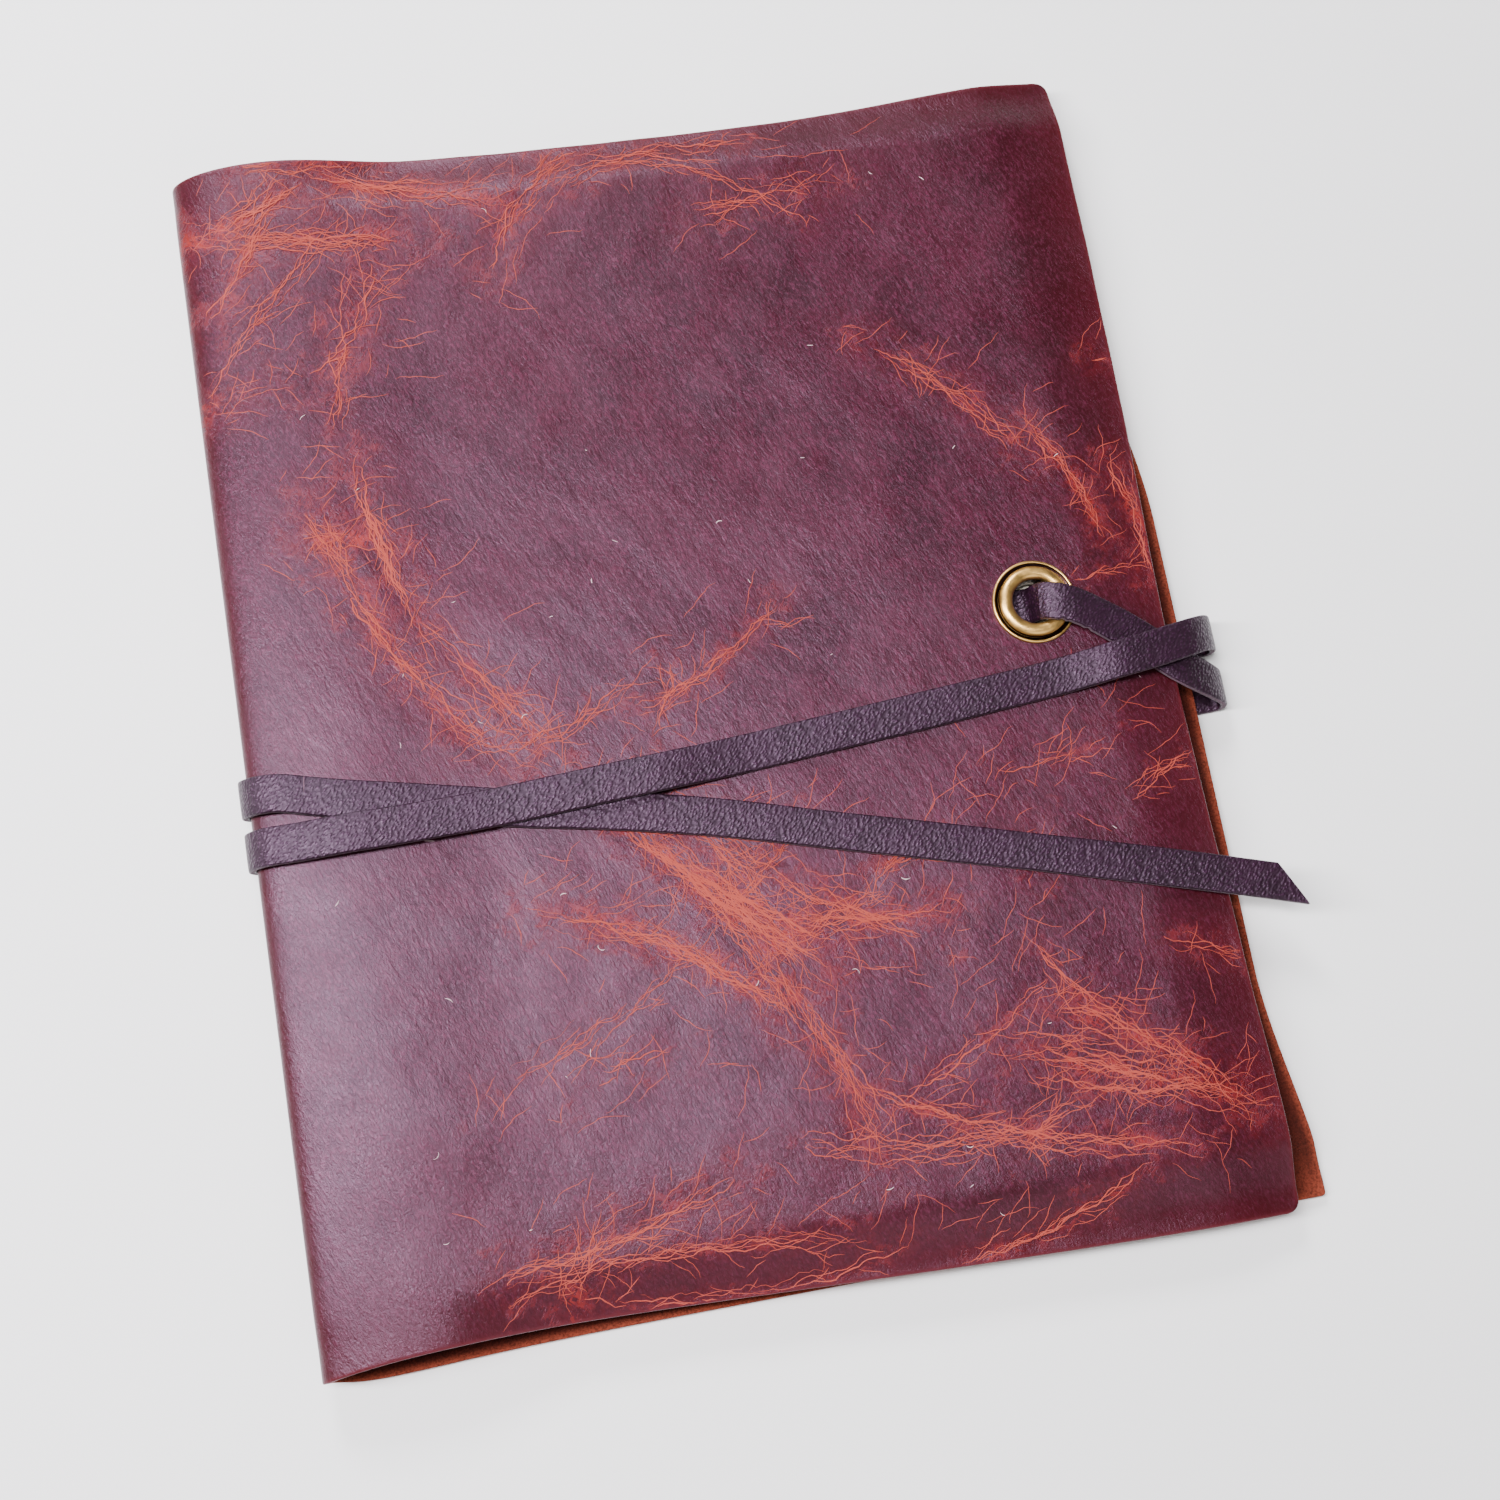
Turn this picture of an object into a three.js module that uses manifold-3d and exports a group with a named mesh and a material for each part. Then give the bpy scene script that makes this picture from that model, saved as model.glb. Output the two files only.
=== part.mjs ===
// A wrap-around leather scrapbook album, lying closed on its back cover and tied shut.
// Millimetres, +Z up. While it is built, X runs from the spine's outermost line to the fore edge,
// Y = 0 is the middle of the album's height (+Y is its head) and Z = 0 is the table. The group at
// the end moves the origin to the middle of the album's footprint.
import * as THREE from 'three';
import { mergeVertices } from 'three/addons/utils/BufferGeometryUtils.js';
import Module from 'manifold-3d';

const wasm = await Module();
wasm.setup();

// ---- Cover: one hide, folded round a soft spine ----
const albumHeight = 305;
const frontWidth = 239;
const backWidth = 249;
const leather = 2.2;
const spineThickness = 17;
const frontDrop = 3.5;        // the front's foot edge runs out of square by this much at the fore edge
const frontCornerRadius = 3.5;
const backCornerRadius = 1.2;
const edgeSag = 4;            // how far the front's head and foot edges hang below its flat middle
const foreEdgeSag = 2.8;      // and its fore edge
const shoulderStart = 24;     // the front falls from the roll of the spine between these two places
const shoulderEnd = 62;
const spineEndAngle = 84;     // degrees of the spine's half turn that bend as one piece, each way
const restingRim = 5;         // flat strip along head and foot on which the album rests

// ---- Tie strap ----
const strapWidth = 9.5;
const strapThickness = 1.8;
const strapClearance = 0.3;
const strapHeadWidth = 17;
const strapHeadLength = 14;
const strapHeadThickness = 1.3;
const strapTipSlant = 9;

// ---- Page block ----
const leafCount = 10;
const leafWidth = 216;
const leafHeight = 279.4;
const leafThickness = 0.3;
const leafCorner = 3;
const leafGapAtForeEdge = 0.15;
const spacerThickness = 0.4;
const pressed = 0.025;        // play between two pieces that are clamped face to face
const bindingEdge = 14;       // from the spine's outermost line to the leaves' bound edge
const bindingWidth = 19;      // the clamped margin, the spacers and the binding strip
const creaseFromBinding = 5.5;
const creaseStep = 1.2;       // each leaf's crease lies this much further out than the next leaf's
const creaseBehind = 1.3;     // bare crease left clear of the axis on the margin's side
const creaseAhead = 0.3;      // and on the leaf's side
const stripThickness = 1;
const blockClearance = 0.2;   // under the lowest leaf and over the highest

// ---- Binding posts ----
const postSpacing = 108;
const postRadius = 2.5;
const postWall = 0.65;
const postHeadRadius = 5;
const postHeadThickness = 0.9;
const postRecess = 0.1;       // how far the head lies inside the leather's outer face
const screwHeadRadius = 4.8;
const screwHeadThickness = 0.8;
const screwShankLength = 5;
const threadGap = 0.3;
const slotWidth = 1.1;
const slotDepth = 0.35;
const holeClearance = 0.3;

// ---- Eyelet ----
const eyeletX = 203.4;
const eyeletY = 5.6;
const eyeletBore = 5.8;       // radius
const eyeletWall = 0.6;
const eyeletRollRadius = 1.7;
const eyeletRadius = 11;
const eyeletFlange = 0.5;
const eyeletSeat = 0.15;      // between the flange and the leather
const washerRadius = 10.5;
const washerThickness = 0.5;
const washerPlay = 0.15;
const rolledLip = 1.9;        // how far the barrel's lower end is turned out
const rolledLipThickness = 0.3;

// ---- Values that follow from those ----
const halfHeight = albumHeight / 2;
const halfLeaf = leafHeight / 2;
const spineRadius = spineThickness / 2;
const backLift = strapThickness + 0.1 + strapClearance;   // the strap's back runs pass underneath
const backTop = backLift + leather;
const marginPitch = leafThickness + spacerThickness + 2 * pressed;
const farPitch = leafThickness + leafGapAtForeEdge;
const firstLeaf = backTop + pressed;
const firstLeafFar = backTop + blockClearance;
const creaseX = bindingEdge + bindingWidth + creaseFromBinding;   // the highest leaf's
const creaseAt = (leaf) => creaseX + (leafCount - 1 - leaf) * creaseStep;
const foreEdgeX = bindingEdge + leafWidth;
const postX = bindingEdge + bindingWidth / 2;
const postY = [-postSpacing, 0, postSpacing];
const marginTop = firstLeaf + (leafCount - 1) * marginPitch + leafThickness;
const leafTopFar = firstLeafFar + (leafCount - 1) * farPitch + leafThickness;
const leafTopAt = (x) => marginTop + (leafTopFar - marginTop) * (x - creaseX) / (foreEdgeX - creaseX);
const stripTop = marginTop + pressed + stripThickness;
const strapHeadBottom = leafTopAt(eyeletX - eyeletRadius - strapHeadWidth / 2) + blockClearance;
const strapHeadTop = strapHeadBottom + strapHeadThickness;
const washerBottom = strapHeadTop + blockClearance + rolledLipThickness + washerPlay;
const plateau = washerBottom + washerThickness + washerPlay + leather;   // top of the front's flat middle

const smoothstep = (from, to, at) => {
  const u = Math.min(Math.max((at - from) / (to - from), 0), 1);
  return u * u * (3 - 2 * u);
};

// How far the back cover and the lower spine are held off the table at a height on the album.
const liftAt = (y) =>
  backLift * (1 - smoothstep(halfLeaf - 2, halfHeight - restingRim, Math.abs(y)));

// The front cover's outer face.
const frontTopAt = (x, y) => {
  const shoulder = smoothstep(shoulderStart, shoulderEnd, x);
  const foreEdge = smoothstep(eyeletX + eyeletRadius + 2, frontWidth, x);
  const edge = smoothstep(halfLeaf - 3, halfHeight, Math.abs(y));
  return spineThickness - (spineThickness - plateau) * shoulder
    - foreEdgeSag * foreEdge - edgeSag * edge * shoulder;
};

// ---- Shapes ----
const bare = (geometry) => {
  geometry.deleteAttribute('normal');
  geometry.deleteAttribute('uv');
  return mergeVertices(geometry, 1e-5);
};

const moveVertices = (geometry, place) => {
  const position = geometry.attributes.position;
  const point = new THREE.Vector3();
  for (let i = 0; i < position.count; i += 1) {
    point.fromBufferAttribute(position, i);
    place(point);
    position.setXYZ(i, point.x, point.y, point.z);
  }
  return geometry;
};

const solid = (geometry) => {
  const plain = bare(geometry);
  return new wasm.Manifold(new wasm.Mesh({
    numProp: 3,
    vertProperties: Float32Array.from(plain.attributes.position.array),
    triVerts: Uint32Array.from(plain.index.array),
  }));
};

const geometryOf = (manifold) => {
  const mesh = manifold.getMesh();
  const geometry = new THREE.BufferGeometry();
  geometry.setAttribute('position', new THREE.BufferAttribute(mesh.vertProperties, 3));
  geometry.setIndex(new THREE.BufferAttribute(mesh.triVerts, 1));
  return geometry;
};

const uprightCylinder = (radius, bottom, top, x, y, sides = 40) =>
  new THREE.CylinderGeometry(radius, radius, top - bottom, sides)
    .rotateX(Math.PI / 2)
    .translate(x, y, (bottom + top) / 2);

// A flat plate between two heights from an outline in X and Y.
const plate = (outline, bottom, thickness, curveSegments = 6) =>
  new THREE.ExtrudeGeometry(outline, { depth: thickness, bevelEnabled: false, curveSegments })
    .translate(0, 0, bottom);

// A box whose grid lines stand at the given stations, for bending afterwards.
const stationedSheet = (xs, ys) => {
  const sheet = new THREE.BoxGeometry(1, 1, 1, xs.length - 1, ys.length - 1, 1);
  const station = (list, share) => list[Math.round((share + 0.5) * (list.length - 1))];
  return moveVertices(sheet, (p) => {
    p.x = station(xs, p.x);
    p.y = station(ys, p.y);
  });
};

// Four corners anticlockwise from the spine's foot; the two at the fore edge are rounded.
const coverOutline = (left, right, foot, footAtForeEdge, head, radius) => {
  const outline = new THREE.Shape();
  outline.moveTo(left, foot);
  outline.lineTo(right - radius, footAtForeEdge);
  outline.quadraticCurveTo(right, footAtForeEdge, right, footAtForeEdge + radius);
  outline.lineTo(right, head - radius);
  outline.quadraticCurveTo(right, head, right - radius, head);
  outline.lineTo(left, head);
  outline.closePath();
  return outline;
};

const spread = (from, to, parts) =>
  Array.from({ length: parts + 1 }, (_, i) => from + (to - from) * i / parts);

const postHoles = (outline, radius) => {
  for (const y of postY) {
    const hole = new THREE.Path();
    hole.absarc(postX, y, radius, 0, 2 * Math.PI, true);
    outline.holes.push(hole);
  }
  return outline;
};

// ---- Materials ----
const finish = (color, roughness, metalness = 0) =>
  new THREE.MeshStandardMaterial({ color, roughness, metalness });
const oxbloodLeather = finish(0x5f3241, 0.5);
const strapLeather = finish(0x3d2733, 0.55);
const brass = finish(0xb08a45, 0.35, 1);
const darkBrass = finish(0x8a6a38, 0.45, 1);
const card = finish(0xe9dfca, 0.9);
const greyBoard = finish(0x8d8478, 0.95);

const album = new THREE.Group();
const add = (name, geometry, material, parent = album) => {
  const mesh = new THREE.Mesh(geometry, material);
  mesh.name = name;
  parent.add(mesh);
  return mesh;
};

// ---- Cover ----
const endStations = [halfHeight, halfHeight - restingRim, halfHeight - 9, halfLeaf + 1, halfLeaf - 3];
const coverStations = [
  ...endStations.map((y) => -y), -halfLeaf / 2, 0, halfLeaf / 2, ...endStations.toReversed(),
];
const past = 6;   // the bent sheets start this far outside the outline that cuts them

const makeBackPanel = () => {
  const start = spineRadius + 0.3;
  const sheet = stationedSheet([start - past, backWidth + past], [
    -halfHeight - past, ...coverStations, halfHeight + past,
  ]);
  moveVertices(sheet, (p) => {
    p.z = liftAt(p.y) + (p.z + 0.5) * leather;
  });
  const outline = coverOutline(start, backWidth, -halfHeight, -halfHeight, halfHeight, backCornerRadius);
  let panel = solid(sheet).intersect(solid(plate(outline, -1, backTop + 2)));
  for (const y of postY) {
    const bore = uprightCylinder(postRadius + holeClearance, 0, backTop + 1, postX, y, 32);
    const recess = uprightCylinder(
      postHeadRadius + holeClearance, 0, backLift + postRecess + postHeadThickness + 0.1, postX, y,
    );
    panel = panel.subtract(solid(bore)).subtract(solid(recess));
  }
  return geometryOf(panel);
};

const makeSpinePanel = () => {
  const reach = THREE.MathUtils.degToRad(spineEndAngle);
  const section = new THREE.Shape();
  section.absarc(0, 0, spineRadius, Math.PI - reach, Math.PI + reach, false);
  section.absarc(0, 0, spineRadius - leather, Math.PI + reach, Math.PI - reach, true);
  section.closePath();
  const cuts = coverStations.length - 1;
  const roll = new THREE.ExtrudeGeometry(section, {
    depth: cuts, steps: cuts, bevelEnabled: false, curveSegments: 16,
  });
  return bare(moveVertices(roll, (p) => {
    const y = coverStations[Math.round(p.z)];
    const half = (spineThickness - liftAt(y)) / 2;
    // the wall keeps its thickness where the roll is pressed flatter
    const radius = Math.hypot(p.x, p.y);
    const inwards = spineRadius - radius;
    p.set(spineRadius + p.x, y, spineThickness - half - p.y / radius * (half - inwards));
  }));
};

const makeFrontPanel = () => {
  const start = spineRadius + 0.3;
  const xs = [
    start - past, 17, ...spread(shoulderStart, shoulderEnd, 6), 110, 160,
    ...spread(eyeletX + eyeletRadius + 2, frontWidth, 4), frontWidth + past,
  ];
  const ys = [-halfHeight - past, ...coverStations, halfHeight + past];
  const sheet = moveVertices(stationedSheet(xs, ys), (p) => {
    p.z = frontTopAt(p.x, p.y) - (0.5 - p.z) * leather;
  });
  const outline = coverOutline(
    start, frontWidth, -halfHeight, -halfHeight - frontDrop, halfHeight, frontCornerRadius,
  );
  const hole = uprightCylinder(
    eyeletBore + eyeletWall + holeClearance, 0, spineThickness, eyeletX, eyeletY, 40,
  );
  return geometryOf(
    solid(sheet).intersect(solid(plate(outline, 0, spineThickness + 2))).subtract(solid(hole)),
  );
};

add('back_panel', makeBackPanel(), oxbloodLeather);
add('spine_panel', makeSpinePanel(), oxbloodLeather);
add('front_panel', makeFrontPanel(), oxbloodLeather);

// ---- Eyelet: a rolled collar with its barrel through the leather, spread over a washer inside ----
const makeEyelet = () => {
  const seat = plateau + eyeletSeat;
  const outside = eyeletBore + eyeletWall;
  const lipTop = washerBottom - washerPlay;
  const rollCentre = eyeletBore + eyeletRollRadius;
  const profile = [
    [eyeletBore, lipTop - rolledLipThickness],
    [outside + rolledLip, lipTop - rolledLipThickness],
    [outside + rolledLip, lipTop],
    [outside, lipTop],
    [outside, seat],
    [eyeletRadius, seat],
    [eyeletRadius, seat + 1.6 * eyeletFlange],
    [eyeletRadius - 0.7, seat + 1.6 * eyeletFlange],
    [eyeletRadius - 1, seat + eyeletFlange],
  ].map(([r, z]) => new THREE.Vector2(r, z));
  for (const turn of spread(0, 180, 12)) {
    const angle = THREE.MathUtils.degToRad(turn);
    profile.push(new THREE.Vector2(
      rollCentre + eyeletRollRadius * Math.cos(angle),
      seat + eyeletFlange + eyeletRollRadius * Math.sin(angle),
    ));
  }
  profile.push(profile[0].clone());
  return bare(new THREE.LatheGeometry(profile, 48)).rotateX(Math.PI / 2)
    .translate(eyeletX, eyeletY, 0);
};

const makeWasher = () => {
  const ring = new THREE.Shape().absarc(0, 0, washerRadius, 0, 2 * Math.PI, false);
  ring.holes.push(new THREE.Path().absarc(
    0, 0, eyeletBore + eyeletWall + washerPlay, 0, 2 * Math.PI, true,
  ));
  return bare(plate(ring, washerBottom, washerThickness, 24)).translate(eyeletX, eyeletY, 0);
};

add('eyelet', makeEyelet(), brass);
add('eyelet_washer', makeWasher(), darkBrass);

// ---- Tie strap: one flat lace, from its wide head inside the front cover, up through the eyelet,
// twice round the album and under its own first run; each point is on its middle line ----
const strapRoute = [
  [183, 9.6, 10.43], [190, 8, 10.43], [196.5, 6.5, 10.43], [200.6, 5.7, 10.45],
  [203, 5.5, 11.8], [203.8, 5.4, 14], [204.8, 5.2, 16.4], [207.4, 4.4, 18.2],
  [211.2, 2.9, 18.6], [215.6, 0.7, 17.8], [220.5, -2.2, 16.5], [227, -6.9, 15.4],
  [233.5, -12.3, 14.4], [240, -17.6, 13.2], [246.5, -21, 9.7], [249.9, -22.2, 6],
  [250.5, -22.4, 3.8], [250.3, -22.6, 2.1], [249.4, -22.7, 1.15], [247.8, -22.8, 1],
  [240, -23, 1], [180, -24.2, 1], [110, -25.5, 1], [50, -26.4, 1], [14, -26.7, 1],
  [8.5, -26.8, 1.05], [3.65, -26.9, 2.2], [0.1, -27, 5.3], [-1.2, -27.1, 9.6],
  [0.1, -27.2, 13.9], [3.65, -27.3, 17.1], [8.5, -27.5, 18.35], [13, -27.6, 18.9],
  [19, -27.6, 20.2], [25, -27.5, 20.45], [34, -27.4, 19.9], [44, -27.1, 19.1],
  [55, -26.7, 18.35], [66, -26.1, 18], [86, -24.8, 17.95], [102, -23.9, 17.9],
  [113, -23.1, 16.8], [124, -22.2, 15.95], [145, -20.4, 15.85], [179, -17.5, 15.85],
  [205, -15.1, 16], [213, -14.3, 17.2], [220.5, -13.4, 18.6], [228, -12.4, 18.2],
  [236, -11, 17], [242.5, -9.6, 15], [247.4, -8.4, 11.2], [249.9, -7.9, 6.8],
  [250.5, -7.8, 3.9], [250.3, -7.7, 2.1], [249.4, -7.7, 1.15], [247.8, -7.7, 1],
  [240, -7.8, 1], [180, -9, 1], [110, -10.5, 1], [50, -12, 1], [14, -12.8, 1],
  [8.5, -12.9, 1.05], [3.65, -13.1, 2.2], [0.1, -13.4, 5.3], [-1.2, -13.7, 9.6],
  [0.1, -14, 13.9], [3.65, -14.3, 17.1], [8.5, -14.8, 18.35], [16, -16.7, 18.3],
  [24, -18.7, 18.3], [34, -20.8, 17.8], [44, -22.8, 17], [55, -25, 16.25],
  [66, -27.4, 15.9], [86, -31.1, 15.85], [110, -36.4, 15.85], [145, -46, 15.85],
  [180, -55.6, 15.85], [215, -65.4, 15.85], [240, -72.6, 15.5], [258, -78, 15.1],
];

const makeStrap = () => {
  const points = strapRoute.map(([x, y, z]) => new THREE.Vector3(x, y, z));
  const route = new THREE.CatmullRomCurve3(points, false, 'centripetal');
  const steps = 190;
  const runs = route.getLengths(steps);
  const lastStretch = points.at(-1).distanceTo(points.at(-2));
  const slantShare = strapTipSlant / lastStretch / (points.length - 1);
  return bare(moveVertices(new THREE.BoxGeometry(1, 1, 1, steps, 1, 1), (p) => {
    const step = Math.round((p.x + 0.5) * steps);
    const across = p.y;
    const through = p.z;
    const cut = (0.5 + across) * slantShare * smoothstep(0.97, 1, step / steps);
    const at = step / steps - cut;
    const tangent = route.getTangent(at);
    const side = new THREE.Vector3(0, 1, 0).addScaledVector(tangent, -tangent.y).normalize();
    const up = new THREE.Vector3().crossVectors(tangent, side);
    // the start is cut as a round head, thinned to lie flat under the eyelet
    const round = Math.min(runs[step] / (strapHeadWidth / 2), 1);
    const head = 1 - smoothstep(strapHeadLength - 5, strapHeadLength, runs[step]);
    const thinned = 1 - smoothstep(strapHeadLength + 4, strapHeadLength + 8, runs[step]);
    const headWidth = strapHeadWidth * Math.max(Math.sqrt(1 - (1 - round) ** 2), 0.3);
    const width = strapWidth + (headWidth - strapWidth) * head;
    const thickness = strapThickness + (strapHeadThickness - strapThickness) * thinned;
    const middle = route.getPoint(at);
    p.copy(middle).addScaledVector(side, across * width).addScaledVector(up, through * thickness);
  }));
};

add('tie_strap', makeStrap(), strapLeather);

// ---- Page block ----
const bindingRectangle = (width) => {
  const outline = new THREE.Shape();
  outline.moveTo(bindingEdge, -halfLeaf);
  outline.lineTo(bindingEdge + width, -halfLeaf);
  outline.lineTo(bindingEdge + width, halfLeaf);
  outline.lineTo(bindingEdge, halfLeaf);
  outline.closePath();
  return postHoles(outline, postRadius + holeClearance);
};

const leafOutline = (crease) =>
  coverOutline(creaseAhead, foreEdgeX - crease, -halfLeaf, -halfLeaf, halfLeaf, leafCorner);

for (let i = 0; i < leafCount; i += 1) {
  const number = String(i + 1).padStart(2, '0');
  const bottom = firstLeaf + i * marginPitch;
  const middle = bottom + leafThickness / 2;
  const farMiddle = firstLeafFar + i * farPitch + leafThickness / 2;
  const crease = creaseAt(i);

  const margin = bindingRectangle(crease - creaseBehind - bindingEdge);
  add(`leaf_${number}_margin`, bare(plate(margin, bottom, leafThickness)), card);

  // the leaf's own frame has its crease on the Y axis
  const hinge = new THREE.Group();
  hinge.position.set(crease, 0, middle);
  hinge.rotation.y = Math.atan2(middle - farMiddle, foreEdgeX - crease);
  album.add(hinge);
  const leaf = plate(leafOutline(crease), -leafThickness / 2, leafThickness);
  add(`leaf_${number}`, bare(leaf), card, hinge);

  if (i < leafCount - 1) {
    const spacer = plate(bindingRectangle(bindingWidth), bottom + leafThickness + pressed, spacerThickness);
    add(`spacer_${number}`, bare(spacer), greyBoard);
  }
}

add(
  'binding_strip',
  bare(plate(bindingRectangle(bindingWidth), marginTop + pressed, stripThickness)),
  strapLeather,
);

// ---- Binding posts: a headed tube from behind, and a screw into it from inside ----
const makePost = (y) => {
  const bottom = backLift + postRecess;
  const top = stripTop - 0.1;
  const bore = postRadius - postWall;
  const floor = top - screwShankLength - 1.5;
  const profile = [
    [0, bottom], [postHeadRadius - 0.3, bottom], [postHeadRadius, bottom + 0.3],
    [postHeadRadius, bottom + postHeadThickness], [postRadius, bottom + postHeadThickness],
    [postRadius, top], [bore, top], [bore, floor], [0, floor],
  ].map(([r, z]) => new THREE.Vector2(r, z));
  return bare(new THREE.LatheGeometry(profile, 32)).rotateX(Math.PI / 2).translate(postX, y, 0);
};

const makeScrew = (y) => {
  const seat = stripTop + pressed;
  const top = seat + screwHeadThickness;
  const shank = postRadius - postWall - threadGap;
  const profile = [
    [0, stripTop - screwShankLength], [shank - 0.3, stripTop - screwShankLength],
    [shank, stripTop - screwShankLength + 0.3], [shank, seat], [screwHeadRadius, seat],
    [screwHeadRadius, top - 0.3], [screwHeadRadius - 0.4, top], [0, top],
  ].map(([r, z]) => new THREE.Vector2(r, z));
  const turned = new THREE.LatheGeometry(profile, 32).rotateX(Math.PI / 2).translate(postX, y, 0);
  const slot = new THREE.BoxGeometry(slotWidth, 2 * screwHeadRadius + 1, 2 * slotDepth)
    .rotateZ(y / postSpacing)
    .translate(postX, y, top);
  return geometryOf(solid(turned).subtract(solid(slot)));
};

const places = ['foot', 'middle', 'head'];
postY.forEach((y, i) => {
  add(`binding_post_${places[i]}`, makePost(y), brass);
  add(`binding_screw_${places[i]}`, makeScrew(y), brass);
});

// ---- Place the album's footprint about the origin ----
album.position.set(-backWidth / 2, frontDrop / 2, 0);

export default album;
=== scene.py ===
import math
import random

import bmesh
import bpy
import numpy as np
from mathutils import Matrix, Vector


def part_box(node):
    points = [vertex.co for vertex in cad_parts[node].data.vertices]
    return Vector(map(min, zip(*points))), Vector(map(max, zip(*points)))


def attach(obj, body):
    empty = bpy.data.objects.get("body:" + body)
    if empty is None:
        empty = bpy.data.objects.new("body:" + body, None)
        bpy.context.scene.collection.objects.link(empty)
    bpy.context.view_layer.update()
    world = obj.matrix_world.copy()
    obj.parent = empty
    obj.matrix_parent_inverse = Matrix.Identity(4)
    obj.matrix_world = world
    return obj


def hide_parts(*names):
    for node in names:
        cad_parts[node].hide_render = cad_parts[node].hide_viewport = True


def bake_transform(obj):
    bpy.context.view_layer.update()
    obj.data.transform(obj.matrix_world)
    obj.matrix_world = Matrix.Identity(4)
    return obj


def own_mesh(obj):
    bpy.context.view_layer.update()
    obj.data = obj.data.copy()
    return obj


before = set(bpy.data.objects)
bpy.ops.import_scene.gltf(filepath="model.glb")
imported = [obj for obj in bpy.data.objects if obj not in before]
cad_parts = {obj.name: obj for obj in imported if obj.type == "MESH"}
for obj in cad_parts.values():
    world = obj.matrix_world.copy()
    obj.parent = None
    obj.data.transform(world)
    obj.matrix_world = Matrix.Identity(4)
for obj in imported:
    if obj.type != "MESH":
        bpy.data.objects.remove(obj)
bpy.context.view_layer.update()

# A soft leather scrapbook album, lying shut on its back cover and tied with one long flat lace.
# Shapes are worked out in millimetres from the spine's outermost line (x), the middle of the
# album's height (y) and the table (z), and to_frame() takes them to the frame's metres.
MM = 0.001
spine_low, spine_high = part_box("spine_panel")
corner = np.array([spine_low.x, (spine_low.y + spine_high.y) / 2, 0.0])


def to_frame(points):
    return np.asarray(points, float) * MM + corner


def box_of(node):
    """A node's lowest and highest corners in the album's own millimetres."""
    low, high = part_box(node)
    return (np.array(low) - corner) / MM, (np.array(high) - corner) / MM


# ---- Camera ----
def make_camera():
    data = bpy.data.cameras.new("camera")
    data.sensor_width = 36
    data.lens = 47.587
    camera = bpy.data.objects.new("camera", data)
    camera.location = (-0.05598, -0.11720, 0.49834)
    camera.rotation_euler = (0.2146, -0.0783, -0.1734)
    bpy.context.scene.collection.objects.link(camera)
    bpy.context.scene.camera = camera


make_camera()


# ---- Small tools for shapes ----
def smooth(start, end, at):
    u = np.clip((np.asarray(at, float) - start) / (end - start), 0, 1)
    return u * u * (3 - 2 * u)


def waves(x, y, length, seed):
    """Gentle seeded unevenness from -1 to 1, about one wave in every length."""
    draw = random.Random(seed)
    total = np.zeros(np.broadcast(x, y).shape)
    count = 9
    for _ in range(count):
        turn = draw.uniform(0, math.tau)
        pitch = math.tau / (length * draw.uniform(0.7, 1.6))
        total += np.sin((x * math.cos(turn) + y * math.sin(turn)) * pitch + draw.uniform(0, math.tau))
    return total / math.sqrt(2 * count)


def new_piece(name, points, faces, finishes, face_finish=None):
    """A mesh object at the origin, from points in millimetres."""
    mesh = bpy.data.meshes.new(name)
    mesh.from_pydata(to_frame(points).tolist(), [], [list(f) for f in faces])
    for finish in finishes:
        mesh.materials.append(finish)
    if face_finish is not None:
        mesh.polygons.foreach_set("material_index", np.asarray(face_finish, np.int32))
    piece = bpy.data.objects.new(name, mesh)
    bpy.context.scene.collection.objects.link(piece)
    return piece


def tidy_normals(piece):
    shape = bmesh.new()
    shape.from_mesh(piece.data)
    bmesh.ops.recalc_face_normals(shape, faces=shape.faces)
    shape.to_mesh(piece.data)
    shape.free()


def smooth_shaded(piece, sharp_from=50):
    mesh = piece.data
    mesh.polygons.foreach_set("use_smooth", [True] * len(mesh.polygons))
    mesh.set_sharp_from_angle(angle=math.radians(sharp_from))


def baked(piece):
    """Replaces a piece's mesh by what its modifiers make of it."""
    graph = bpy.context.evaluated_depsgraph_get()
    mesh = bpy.data.meshes.new_from_object(piece.evaluated_get(graph))
    piece.modifiers.clear()
    piece.data = mesh
    return piece


def bored(piece, holes):
    """Cuts round holes, each given as x, y, radius, bottom and top."""
    for x, y, radius, bottom, top in holes:
        drill = turned("drill", [(0, bottom), (radius, bottom), (radius, top), (0, top)], x, y, 64, [])
        cut = piece.modifiers.new("hole", "BOOLEAN")
        cut.operation = "DIFFERENCE"
        cut.solver = "EXACT"
        cut.object = drill
        baked(piece)
        bpy.data.objects.remove(drill)
    return piece


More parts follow.
